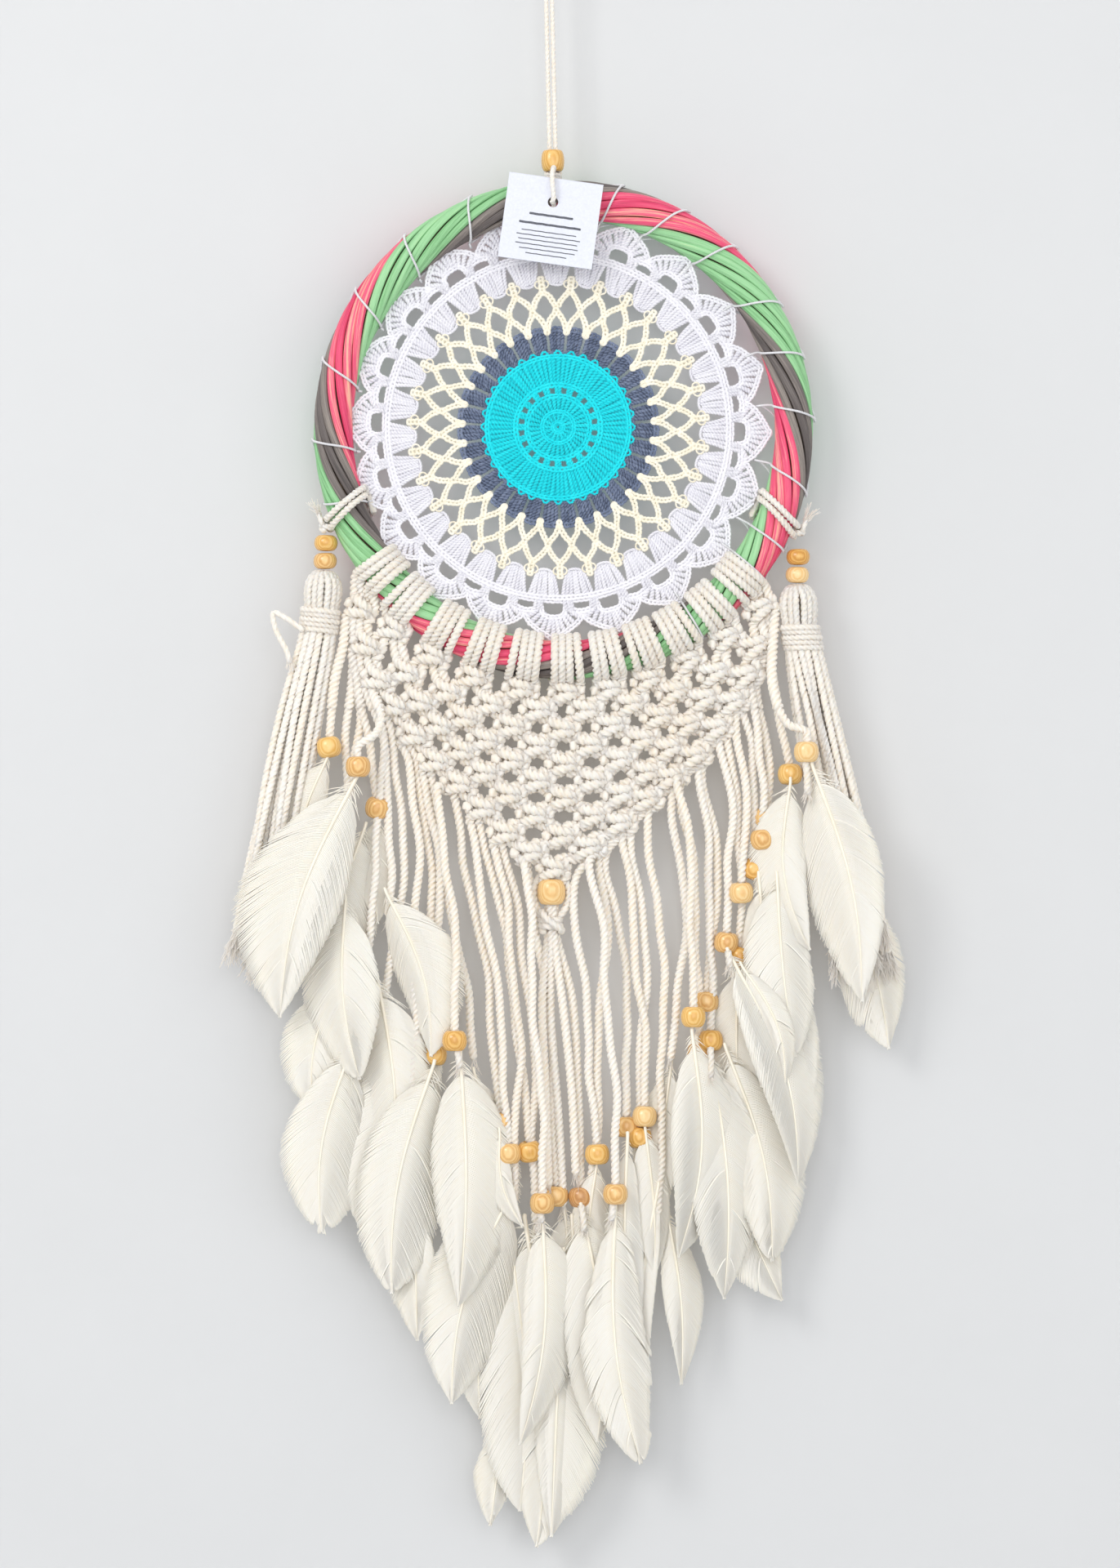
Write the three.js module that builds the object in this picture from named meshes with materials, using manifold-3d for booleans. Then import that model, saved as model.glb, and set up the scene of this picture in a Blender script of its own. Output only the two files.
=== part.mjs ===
// Dream catcher: a reed hoop with a crocheted doily, a macrame net, two tassels, beads and feathers.
// Millimetres, +Z up, front towards -Y. The origin is the nail that the hanging cord's loop goes over.
import * as THREE from "three";
import { mergeVertices } from "three/addons/utils/BufferGeometryUtils.js";
import Module from "manifold-3d";

const wasm = await Module();
wasm.setup();

// ---- driving dimensions ----
const GAP = 0.3; // clearance between touching pieces
const HOOP_X = 6.84; // centre of the hoop
const HOOP_Z = -207.4;
const HOOP_R = 101.5; // radius of the band's centre line
const REEDS = 12;
const REED_TWISTS = 4; // full turns of a reed round the band
const REED_IN = 6.8; // inner and outer face of a reed, from the band's centre line
const REED_OUT = 8.4;
const CORE_R = 5.8;
const CORD_R = 1.7; // macrame cord
const HANG_R = 1.15; // each strand of the hanging cord
const DOILY_T = 1.6; // thickness of the crochet
const DOILY_R = [32.6, 43.4, 62.4, 88.8]; // outer radius of each yarn
const SCALLOPS = 20;
const NET_FRONT = -3; // front and back face of the knotted net
const NET_BACK = 1;
const HINGE_Z = -324; // line where the net starts to hang free
const HINGE_GAP = 1.2;
const BEAD_R = 5.5; // small bead
const BEAD_H = 9.0;
const BEAD_BORE = 2.0;
const TASSEL_BEAD_R = 5.2;
const TASSEL_BEAD_H = 7.0;
const DROP_Y = -9.5; // plane of the front strands, beads and feathers
const OUTER_DROP_Y = -15; // the two that hang in front of the tassels

// ---- helpers ----
const V = (x, y, z) => new THREE.Vector3(x, y, z);
const root = new THREE.Group();

function add(name, geometry, colour, roughness = 0.8, at = null) {
  const material = new THREE.MeshStandardMaterial({ color: colour, roughness, metalness: 0 });
  const mesh = new THREE.Mesh(geometry, material);
  mesh.name = name;
  if (at) mesh.position.set(at[0], at[1], at[2]);
  root.add(mesh);
  return mesh;
}

function indexed(points, triangles) {
  const g = new THREE.BufferGeometry();
  g.setAttribute("position", new THREE.Float32BufferAttribute(points, 3));
  g.setIndex(triangles);
  g.computeVertexNormals();
  return g;
}

// sweep of a ring of sections, closed on itself: sections[i][j] = [x, y, z]
function closedSweep(sections, flip = false) {
  const n = sections.length;
  const m = sections[0].length;
  const points = sections.flat(2);
  const triangles = [];
  for (let i = 0; i < n; i++)
    for (let j = 0; j < m; j++) {
      const a = i * m + j;
      const b = i * m + ((j + 1) % m);
      const c = ((i + 1) % n) * m + j;
      const d = ((i + 1) % n) * m + ((j + 1) % m);
      // the last side's diagonal mirrors the second's, so that neighbours' facing sides match
      if (flip) triangles.push(a, b, c, b, d, c);
      else if (j === m - 1) triangles.push(a, c, d, a, d, b);
      else triangles.push(a, c, b, b, c, d);
    }
  return indexed(points, triangles);
}

// sweep with two flat ends
function openSweep(sections, flip = false) {
  const n = sections.length;
  const m = sections[0].length;
  const points = sections.flat(2);
  const triangles = [];
  const push = (a, b, c) => (flip ? triangles.push(a, c, b) : triangles.push(a, b, c));
  for (let i = 0; i < n - 1; i++)
    for (let j = 0; j < m; j++) {
      const a = i * m + j;
      const b = i * m + ((j + 1) % m);
      const c = a + m;
      const d = b + m;
      push(a, c, b);
      push(b, c, d);
    }
  for (let j = 1; j < m - 1; j++) {
    push(0, j, j + 1);
    push((n - 1) * m, (n - 1) * m + j + 1, (n - 1) * m + j);
  }
  return indexed(points, triangles);
}

// tube of `sides` round a list of points, both ends flat
function tube(points, radius, sides = 8, smooth = true, steps = null) {
  const path = smooth ? new THREE.CatmullRomCurve3(points) : new THREE.CurvePath();
  if (!smooth) for (let i = 0; i < points.length - 1; i++) path.add(new THREE.LineCurve3(points[i], points[i + 1]));
  const section = new THREE.Shape();
  for (let i = 0; i < sides; i++) {
    const a = (2 * Math.PI * i) / sides;
    if (i === 0) section.moveTo(radius * Math.cos(a), radius * Math.sin(a));
    else section.lineTo(radius * Math.cos(a), radius * Math.sin(a));
  }
  section.closePath();
  const length = path.getLength();
  return new THREE.ExtrudeGeometry(section, {
    steps: steps || Math.max(2, Math.min(60, Math.round(length / (radius * 5)))),
    bevelEnabled: false,
    extrudePath: path,
    curveSegments: 1,
  });
}

// solid of revolution about Z from [radius, z] pairs
const lathe = (profile, segments = 14) => {
  const g = new THREE.LatheGeometry(profile.map((p) => new THREE.Vector2(p[0], p[1])), segments);
  g.rotateX(Math.PI / 2);
  return g;
};

// oblate bead with a through bore along Z, centred on the origin
function bead(radius, height, bore, segments = 12) {
  const profile = [];
  const half = height / 2;
  const n = 6;
  const lip = bore + 0.5;
  for (let i = 0; i <= n; i++) {
    const t = -1 + (2 * i) / n;
    const a = (t * Math.PI) / 2;
    const r = lip + (radius - lip) * Math.cos(a);
    profile.push([r, half * Math.sin(a)]);
  }
  profile.push([bore, half - 0.5], [bore, -half + 0.5]);
  profile.push(profile[0]);
  return lathe(profile, segments);
}

// flat plate from an outline of [x, z] pairs, between two Y values
function plate(outline, y0, y1, holes = []) {
  const flat = (list, turn) => {
    const points = list.map((p) => new THREE.Vector2(p[0], p[1]));
    return THREE.ShapeUtils.isClockWise(points) === turn ? points.reverse() : points;
  };
  const shape = new THREE.Shape(flat(outline, true));
  for (const h of holes) shape.holes.push(new THREE.Path(flat(h, false)));
  const g = new THREE.ExtrudeGeometry(shape, { depth: y1 - y0, bevelEnabled: false, curveSegments: 1 });
  g.rotateX(Math.PI / 2); // shape's y becomes z, depth runs to -y
  g.translate(0, y1, 0);
  return g;
}

function solid(geometry) {
  const g = geometry.clone();
  g.deleteAttribute("normal");
  g.deleteAttribute("uv");
  const merged = mergeVertices(g, 1e-3);
  const mesh = new wasm.Mesh({
    numProp: 3,
    vertProperties: new Float32Array(merged.attributes.position.array),
    triVerts: new Uint32Array(merged.index.array),
  });
  mesh.merge();
  return new wasm.Manifold(mesh);
}

function fromSolid(manifold) {
  const mesh = manifold.getMesh();
  return indexed(Array.from(mesh.vertProperties), Array.from(mesh.triVerts));
}

// point on the band: angle clockwise from the top, then round the section (0 = outwards, 90 deg = front)
function onHoop(angle, psi, rho) {
  const r = HOOP_R + rho * Math.cos(psi);
  return [HOOP_X + r * Math.sin(angle), -rho * Math.sin(psi), HOOP_Z + r * Math.cos(angle)];
}
const RAD = Math.PI / 180;

// ---- hoop ----
{
  const steps = 40;
  const sections = [];
  for (let i = 0; i < steps; i++) {
    const ring = [];
    for (let j = 0; j < 8; j++) ring.push(onHoop((2 * Math.PI * i) / steps, (2 * Math.PI * j) / 8, CORE_R));
    sections.push(ring);
  }
  add("hoop_core", closedSweep(sections, true), 0x9a7b55);

  // clockwise, a reed on the front face climbs from the inner edge to the outer edge
  const colours = ["green", "green", "green", "green", "green", "grey", "grey", "grey", "pink", "pink", "pink", "pink"];
  const paint = { green: 0x96cd96, pink: 0xe6466e, grey: 0x645c58 };
  const count = { green: 0, pink: 0, grey: 0 };
  const pitch = (2 * Math.PI) / REEDS;
  for (let k = 0; k < REEDS; k++) {
    const rings = [];
    const n = 40;
    const half = pitch / 2;
    for (let i = 0; i < n; i++) {
      const angle = (2 * Math.PI * i) / n;
      // reed k reaches the inner edge (psi = 180 deg) at its own angle
      const psi = Math.PI - REED_TWISTS * (angle - 10 * RAD) + (k + 0.5) * pitch;
      const inGap = (GAP * 0.5) / REED_IN + 0.004;
      const outGap = (GAP * 0.5) / REED_OUT + 0.004;
      rings.push([
        onHoop(angle, psi - half + inGap, REED_IN),
        onHoop(angle, psi + half - inGap, REED_IN),
        onHoop(angle, psi + half - outGap, REED_OUT),
        onHoop(angle, psi - half + outGap, REED_OUT),
      ]);
    }
    const colour = colours[k];
    count[colour] += 1;
    add(`reed_${colour}_${count[colour]}`, closedSweep(rings, false), paint[colour], 0.55);
  }
}

// ---- doily: one crocheted disc in four yarns ----
{
  const disc = (outer, inner, n, holes = []) => {
    const o = [];
    const h = [];
    for (let i = 0; i < n; i++) {
      const a = (2 * Math.PI * i) / n;
      o.push([HOOP_X + outer(a) * Math.sin(a), HOOP_Z + outer(a) * Math.cos(a)]);
      if (inner) h.push([HOOP_X + inner(a) * Math.sin(a), HOOP_Z + inner(a) * Math.cos(a)]);
    }
    return plate(o, -DOILY_T / 2, DOILY_T / 2, inner ? [h, ...holes] : holes);
  };
  const flat = (r) => () => r;
  add("doily_center", disc(flat(DOILY_R[0]), null, 36), 0x00d4de, 0.85);
  add("doily_slate_ring", disc(flat(DOILY_R[1]), flat(DOILY_R[0] + 0.5), 36), 0x5a6680, 0.85);
  add("doily_cream_net", disc(flat(DOILY_R[2]), flat(DOILY_R[1] + 0.5), 40), 0xf0e8d0, 0.85);
  const scallop = (a) => DOILY_R[3] - 5 * Math.abs(Math.sin((SCALLOPS * a) / 2)) ** 2.2;
  const eyelets = [];
  for (let i = 0; i < SCALLOPS; i++) {
    for (const s of [0.5]) {
      const a = (2 * Math.PI * (i + s)) / SCALLOPS;
      const c = 77.5;
      const eye = [[c - 2.2, 0], [c, 0.045], [c + 2.2, 0], [c, -0.045]];
      eyelets.push(eye.map(([r, d]) => [HOOP_X + r * Math.sin(a + d), HOOP_Z + r * Math.cos(a + d)]));
    }
  }
  add("doily_white_edge", disc(scallop, flat(DOILY_R[2] + 0.6), 60, eyelets), 0xeeecf4, 0.85);
}

// ---- lacing thread: winds round the band's upper arc, from one tassel to the other ----
{
  const turns = 18;
  const first = -100 * RAD;
  const last = 100 * RAD;
  const n = turns * 9;
  const rings = [];
  for (let i = 0; i <= n; i++) {
    const t = i / n;
    const angle = first + (last - first) * t;
    // the thread is at the inner edge where the sling passes
    const psi = 2 * Math.PI * turns * (t - 0.4867) + Math.PI;
    const c = onHoop(angle, psi, 9.55);
    const out = onHoop(angle, psi, 10.0);
    const side = [Math.cos(angle), 0, -Math.sin(angle)];
    const radial = [out[0] - c[0], out[1] - c[1], out[2] - c[2]];
    const w = 0.45;
    rings.push([0, 1, 2].map((j) => {
      const a = (2 * Math.PI * j) / 3 + Math.PI / 6;
      return [0, 1, 2].map((q) => c[q] + w * Math.sin(a) * side[q] + Math.cos(a) * radial[q]);
    }));
  }
  add("doily_lacing", openSweep(rings, false), 0xf4f2ee);
}

// ---- hanging cord, hitch, sling, top bead and tag ----
const HITCH_Z = -95.45;
const HITCH_H = 3.0;
const TAG_HOLE = [2.16, -108.72];
const TAG_Y = -13.45;
const CORD_X = 2.16;
{
  const p = [];
  const side = 1.3;
  const low = HITCH_Z + HITCH_H / 2 + 0.4;
  const xAt = (z) => (CORD_X * z) / -94; // the doubled cord runs straight from the nail to the hitch
  const levels = [low, -50, -38, -26, -15, -7];
  for (const z of levels) p.push(V(xAt(z) * 1 - side, 0, z));
  p.push(V(-2.6, 0, -1.5), V(-1.6, 0, 1.4), V(0, 0, 2.5), V(1.6, 0, 1.4), V(2.6, 0, -1.5));
  for (const z of levels.slice().reverse()) p.push(V(xAt(z) + side, 0, z));
  add("hanging_cord", tube(p, HANG_R, 8, true, 46), 0xebe4d8);

  add("hanging_hitch", lathe([[0, -HITCH_H / 2], [3.6, -HITCH_H / 2], [4.3, -0.7], [4.3, 0.7], [3.6, HITCH_H / 2], [0, HITCH_H / 2]], 12), 0xf2efe9, 0.85, [CORD_X, 0, HITCH_Z]);

  add("top_bead", bead(5.1, 9.4, 2.9, 14), 0xb98a55, 0.4, [(CORD_X * (HITCH_Z + HITCH_H / 2 + 5)) / -94, 0, HITCH_Z + HITCH_H / 2 + 0.3 + 4.7]);

  // oval ring of cord: over the tag's front, in at its hole, round the band and up behind it
  const top = HOOP_Z + HOOP_R;
  const hole = TAG_HOLE[1];
  const oval = [
    [-6.0, -94.2], [-10.0, -92.9], [-14.4, -94.4], [-16.6, -99], [-16.7, hole + 4], [-16.2, hole + 1.6], [-14.8, hole + 0.3], [TAG_Y, hole],
    [-12.1, hole - 0.5], [-10.9, hole - 2.6], [-8.6, top - 9.6], [0, top - 12.4], [8.2, top - 7.8], [11.0, top], [9.4, top + 6.6], [6.0, -94.6],
  ].map(([y, z]) => V(CORD_X, y, z));
  add("hoop_sling", tube(oval, 1.3, 8, true, 40), 0xebe4d8);

  // folded card: two leaves joined along the top edge
  const w = 41.5;
  const h = 37;
  const leaf = 0.5;
  const slot = 0.7;
  const profile = [[-leaf - slot / 2, 0], [-slot / 2, 0], [-slot / 2, h - 1], [slot / 2, h - 1], [slot / 2, 0.6], [leaf + slot / 2, 0.6], [leaf + slot / 2, h - 0.4], [0.4, h], [-0.4, h], [-leaf - slot / 2, h - 0.4]];
  const shape = new THREE.Shape(profile.map((q) => new THREE.Vector2(q[0], q[1])));
  const card = new THREE.ExtrudeGeometry(shape, { depth: w, bevelEnabled: false });
  // extrusion runs along +Z: turn it so that the width is X, the profile's x is Y and its y is Z
  card.applyMatrix4(new THREE.Matrix4().set(0, 0, 1, -w / 2, 1, 0, 0, 0, 0, 1, 0, -h / 2, 0, 0, 0, 1));
  card.rotateY(8 * RAD);
  const at = [1.08, -117];
  card.translate(at[0], TAG_Y, at[1]);
  const punch = new THREE.CylinderGeometry(2.4, 2.4, 12, 12);
  punch.translate(TAG_HOLE[0], TAG_Y, TAG_HOLE[1]);
  add("label_tag", fromSolid(solid(card).subtract(solid(punch))), 0xeceff8, 0.6);
}

// ---- macrame header: the wraps over the band's lower arc, and the first knots beside them ----
{
  const sector = (rho, from, to, sides, n) => {
    const rings = [];
    for (let i = 0; i <= n; i++) {
      const angle = (from + ((to - from) * i) / n) * RAD;
      const ring = [];
      for (let j = 0; j < sides; j++) ring.push(onHoop(angle, (2 * Math.PI * (j + 0.5)) / sides, rho));
      rings.push(ring);
    }
    return openSweep(rings, true);
  };
  const outer = solid(sector(12.3, 125, 235, 10, 20));
  const shoulder = [];
  for (let i = 0; i <= 20; i++) {
    const a = (127 + (106 * i) / 20) * RAD;
    shoulder.push([HOOP_X + 108 * Math.sin(a), HOOP_Z + 108 * Math.cos(a)]);
  }
  shoulder.push([-87.48, -272.88], [-89.28, HINGE_Z + HINGE_GAP], [98.64, HINGE_Z + HINGE_GAP], [96.84, -272.88]);
  const apron = solid(plate(shoulder, NET_FRONT, NET_BACK));
  const bandSpace = solid(sector(9.15, 118, 242, 12, 26));
  add("macrame_header", fromSolid(outer.add(apron).subtract(bandSpace)), 0xf0eadf, 0.9);
}

// ---- macrame net: rows of alternating square knots, with the small openings between them ----
{
  const edge = [
    [-78.84, -325.44], [-72.36, -335.52], [-65.88, -344.52], [-55.8, -354.6], [-46.08, -366.48], [-36.36, -380.52], [-25.56, -387], [-14.04, -394.92], [-5.76, -400.32],
    [9.36, -400.32], [18, -397.44], [28.44, -389.52], [38.52, -380.52], [48.96, -371.52], [61.92, -358.92], [74.52, -344.52], [81, -331.92], [84.24, -325.44],
  ];
  edge[0][1] = HINGE_Z - HINGE_GAP;
  edge[edge.length - 1][1] = HINGE_Z - HINGE_GAP;
  const openings = [];
  for (const [row, py, half] of [[0, 880, 3], [1, 918, 3], [2, 956, 2], [3, 994, 1]]) {
    for (let i = -half; i <= half; i++) {
      const c = [2.16 + i * 18 + (row % 2 ? 9 : 0), -18 - py * 0.36];
      if (row % 2 && i === half) continue;
      openings.push([[c[0] - 1.6, c[1]], [c[0], c[1] + 2.4], [c[0] + 1.6, c[1]], [c[0], c[1] - 2.4]]);
    }
  }
  add("macrame_net", plate(edge, NET_FRONT, NET_BACK, openings), 0xf0eadf, 0.9);

  const c = [1.44, -411.12];
  add("center_bead", bead(6.3, 11.4, 2.6, 14), 0xcf9a55, 0.35, [c[0], -1, c[1]]);
  const g = [1.44, -424.8];
  add("gathering_knot", lathe([[0, -4.6], [4.6, -4.6], [6.0, -2.4], [6.3, 0], [6.0, 2.4], [4.6, 4.6], [0, 4.6]], 12), 0xf0eadf, 0.9, [g[0], -1, g[1]]);
}

// ---- fringe: the loose ends of the net's cords, left and right ----
{
  const left = [
    [-89.28, -326.16], [-81.72, -326.16], [-75.96, -336.96], [-69.48, -346.32], [-59.4, -357.12], [-49.68, -369], [-39.96, -383.04], [-28.44, -390.24], [-16.92, -398.16], [-8.28, -403.56],
    [-7.56, -432], [1.08, -432.72], [1.08, -529.2], [-11.16, -522], [-21.24, -509.76], [-29.88, -508.32], [-35.64, -470.16], [-45, -470.88], [-52.92, -479.52], [-63, -432],
    [-70.92, -381.6], [-78.84, -372.6], [-86.76, -354.24], [-89.64, -343.8],
  ];
  const right = [
    [1.8, -432.72], [11.16, -432], [11.88, -403.56], [19.8, -400.32], [30.6, -392.4], [40.68, -383.4], [51.12, -374.4], [64.44, -361.8], [77.4, -347.04], [83.88, -334.8],
    [87.48, -326.16], [102.6, -326.16], [104.04, -342], [99.72, -354.6], [94.68, -385.2], [86.76, -410.4], [78.84, -432], [70.92, -462.6], [61.56, -463.68], [46.44, -504],
    [33.48, -511.92], [25.56, -529.2], [14.04, -540], [1.8, -536.4],
  ];
  left[0][1] = left[1][1] = HINGE_Z - HINGE_GAP;
  right[10][1] = right[11][1] = HINGE_Z - HINGE_GAP;
  add("fringe_left", plate(left, NET_FRONT, NET_BACK), 0xefe8dc, 0.9);
  add("fringe_right", plate(right, NET_FRONT, NET_BACK), 0xefe8dc, 0.9);
}

// ---- feathers ----
// outline from root to tip along a gently curved quill; w0 is the greatest half-width
function feather(rootXZ, tipXZ, half, y, bend = 0, quill = 0.16) {
  const n = 9;
  const dx = tipXZ[0] - rootXZ[0];
  const dz = tipXZ[1] - rootXZ[1];
  const length = Math.hypot(dx, dz);
  const nx = -dz / length;
  const nz = dx / length;
  const right = [];
  const left = [];
  for (let i = 0; i <= n; i++) {
    const t = i / n;
    const s = t < quill ? 0 : (t - quill) / (1 - quill);
    const width = t < quill ? 0.9 : 0.9 + half * Math.sin(Math.PI * Math.min(1, s) ** 0.72) ** 0.75 * (1 - 0.15 * s);
    const c = bend * Math.sin(Math.PI * t);
    const w = i === n ? 0.7 : width;
    right.push([rootXZ[0] + dx * t + nx * (c + w), rootXZ[1] + dz * t + nz * (c + w)]);
    left.push([rootXZ[0] + dx * t + nx * (c - w), rootXZ[1] + dz * t + nz * (c - w)]);
  }
  return plate([...left, ...right.reverse()].reverse(), y - 0.6, y + 0.6);
}

// ---- front drops: a strand that hangs from the net's edge, its bead, and a feather in the bead ----
const drops = [
  { name: "drop_far_left", y: OUTER_DROP_Y, top: [-73.08, -334.8], path: [[-75.96, -342]], bead: [-83.16, -356.04], tip: [-117.36, -464.4], half: 15.5, bend: 4 },
  { name: "drop_left", y: DROP_Y, top: [-48.6, -364.32], path: [[-44.28, -396], [-41.4, -435.6]], bead: [-41.04, -476.28], tip: [-38.52, -591.48], half: 15.5, bend: 2 },
  { name: "drop_mid_left", y: DROP_Y, top: [-11.16, -396.72], path: [[-7.56, -435.6], [-3.96, -493.2]], bead: [-2.52, -547.56], tip: [-13.68, -652.32], half: 12.5, bend: -2 },
  { name: "drop_mid_right", y: DROP_Y, top: [18.36, -396], path: [[24.12, -432], [28.44, -493.2]], bead: [29.52, -543.6], tip: [42.12, -660.96], half: 14, bend: 3 },
  { name: "drop_right", y: DROP_Y, top: [56.52, -360.72], path: [[61.56, -388.8], [63.72, -428.4]], bead: [63.72, -465.84], tip: [57.24, -570.24], half: 12, bend: -2 },
  { name: "drop_far_right", y: OUTER_DROP_Y, top: [98.28, -328.32], path: [[102.6, -338.4]], bead: [113.04, -349.56], tip: [137.52, -455.76], half: 11.5, bend: -3 },
];
for (const d of drops) {
  const top = V(d.top[0], d.y, d.top[1]);
  const end = V(d.bead[0], d.y, d.bead[1] + BEAD_H / 2 + 0.4);
  const above = V(d.bead[0], d.y, d.bead[1] + BEAD_H / 2 + 5);
  const points = [top, ...d.path.map((q) => V(q[0], d.y, q[1])), above, end];
  add(`${d.name}_cord`, tube(points, CORD_R, 8), 0xefe8dc, 0.9);
  add(`${d.name}_bead`, bead(BEAD_R, BEAD_H, BEAD_BORE), 0xcf9a55, 0.35, [d.bead[0], d.y, d.bead[1]]);
  add(`${d.name}_feather`, feather([d.bead[0], d.bead[1] - BEAD_H / 2 - 0.5], d.tip, d.half, d.y, d.bend), 0xf2efe6, 0.7);
}
add("lower_feather", feather([-9, -536.4], [-5.76, -699.48], 13, -1, -9, 0.5), 0xf2efe6, 0.7);

// ---- tassels ----
for (const [side, s] of [["left", -1], ["right", 1]]) {
  const hoopAngle = (side === "left" ? -112 : 113.5) * RAD;
  const left = side === "left";
  // loop round the band: starts and ends at the knot outside the hoop
  const loop = [];
  const centre = [HOOP_X + HOOP_R * Math.sin(hoopAngle), HOOP_Z + HOOP_R * Math.cos(hoopAngle)];
  const out = [Math.sin(hoopAngle), Math.cos(hoopAngle)];
  for (let i = 0; i <= 10; i++) {
    const psi = (38 + (284 * i) / 10) * RAD;
    const rho = 10.3;
    loop.push(V(centre[0] + rho * Math.cos(psi) * out[0], -rho * Math.sin(psi), centre[1] + rho * Math.cos(psi) * out[1]));
  }
  add(`${side}_tassel_loop`, tube(loop, CORD_R * 0.85, 8, true, 18), 0xefe8dc, 0.9);

  const pivot = left ? [-97.92, -252.72] : [110.52, -258.48];
  const beads = left ? [[-97.92, -257.4], [-98.28, -265.32]] : [[110.16, -263.52], [109.8, -271.44]];
  add(`${side}_tassel_bead_1`, bead(TASSEL_BEAD_R, TASSEL_BEAD_H, 1.8), 0xdba85c, 0.3, [beads[0][0], 0, beads[0][1] + 0.2]);
  add(`${side}_tassel_bead_2`, bead(TASSEL_BEAD_R, TASSEL_BEAD_H, 1.8), 0xdba85c, 0.3, [beads[1][0], 0, beads[1][1] - 0.2]);
  // head, wrap and skirt follow the tassel's lean
  const headTop = left ? [-98.64, -270.36] : [109.8, -276.48];
  const wrapTop = left ? [-99.72, -285.12] : [110.52, -292.32];
  const wrapEnd = left ? [-101.52, -298.08] : [112.68, -306];
  const hem = left ? [-127.08, -437.4] : [137.16, -441];
  const ringAt = (c, dir, rx, ry, n = 12) => {
    const px = [-dir[1], dir[0]];
    const pts = [];
    for (let j = 0; j < n; j++) {
      const a = (2 * Math.PI * j) / n;
      pts.push([c[0] + px[0] * rx * Math.cos(a), ry * Math.sin(a), c[1] + px[1] * rx * Math.cos(a)]);
    }
    return pts;
  };
  const along = (a, b, t) => [a[0] + (b[0] - a[0]) * t, a[1] + (b[1] - a[1]) * t];
  const unit = (a, b) => {
    const l = Math.hypot(b[0] - a[0], b[1] - a[1]);
    return [(b[0] - a[0]) / l, (b[1] - a[1]) / l];
  };
  const d1 = unit(headTop, wrapEnd);
  const head = [[0.02, 2.6], [0.12, 6.2], [0.35, 8.4], [0.7, 8.9], [0.98, 8.2]].map(([t, r]) => ringAt(along(headTop, wrapTop, t), d1, r, Math.min(r, 8.2)));
  add(`${side}_tassel_head`, openSweep(head, false), 0xf0eadf, 0.9);
  const wrap = [[0.03, 8.8], [0.2, 9.6], [0.8, 9.6], [0.97, 8.8]].map(([t, r]) => ringAt(along(wrapTop, wrapEnd, t), d1, r, Math.min(r, 8.8)));
  add(`${side}_tassel_wrap`, openSweep(wrap, false), 0xf0eadf, 0.9);
  const d2 = unit(wrapEnd, hem);
  const skirt = [[0.012, 8.6], [0.2, 9.8], [0.45, 10.6], [0.75, 11.2], [1, 10.4]].map(([t, r]) => {
    const dir = t < 0.1 ? d1 : d2;
    return ringAt(along(wrapEnd, hem, t), dir, r, 7.2);
  });
  add(`${side}_tassel_skirt`, openSweep(skirt, false), 0xf0eadf, 0.9);
}

export default root;
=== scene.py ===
import bpy
import math
import numpy as np
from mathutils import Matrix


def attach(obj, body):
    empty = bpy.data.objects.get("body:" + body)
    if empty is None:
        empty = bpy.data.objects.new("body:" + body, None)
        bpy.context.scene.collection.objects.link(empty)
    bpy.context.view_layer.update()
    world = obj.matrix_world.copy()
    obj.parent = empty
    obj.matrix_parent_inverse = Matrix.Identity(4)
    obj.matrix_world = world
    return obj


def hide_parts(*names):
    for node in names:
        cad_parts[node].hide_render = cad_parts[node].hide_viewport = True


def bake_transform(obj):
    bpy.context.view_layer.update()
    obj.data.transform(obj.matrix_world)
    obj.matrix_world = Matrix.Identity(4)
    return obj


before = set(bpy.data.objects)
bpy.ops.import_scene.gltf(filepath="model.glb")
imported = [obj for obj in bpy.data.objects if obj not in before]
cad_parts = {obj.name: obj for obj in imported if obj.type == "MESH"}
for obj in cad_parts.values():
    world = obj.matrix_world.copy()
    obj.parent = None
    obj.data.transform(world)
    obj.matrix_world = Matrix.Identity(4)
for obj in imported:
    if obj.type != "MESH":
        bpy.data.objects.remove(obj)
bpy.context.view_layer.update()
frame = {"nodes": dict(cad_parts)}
scene = bpy.context.scene
scene.view_settings.view_transform = "Standard"
scene.view_settings.look = "None"
rng = np.random.default_rng(11)
MM = 0.001
RAD = math.pi / 180

# ---------------------------------------------------------------- camera
cam_data = bpy.data.cameras.new("camera")
cam_data.lens = 114.58
cam_data.clip_end = 50
cam = bpy.data.objects.new("camera", cam_data)
cam.location = (0.00522, -2.2, -0.3636)
cam.rotation_euler = (math.pi / 2, 0, 0)
scene.collection.objects.link(cam)
scene.camera = cam

# ---------------------------------------------------------------- driving sizes, in millimetres
HX, HZ, HR = 6.84, -207.4, 101.5  # hoop centre and radius of the band's centre line
DX, DZ = 4.4, -206.4  # doily centre
CORD = 1.8  # macrame cord radius
D = 3.42  # its diameter
HINGE_Z = -324


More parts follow.
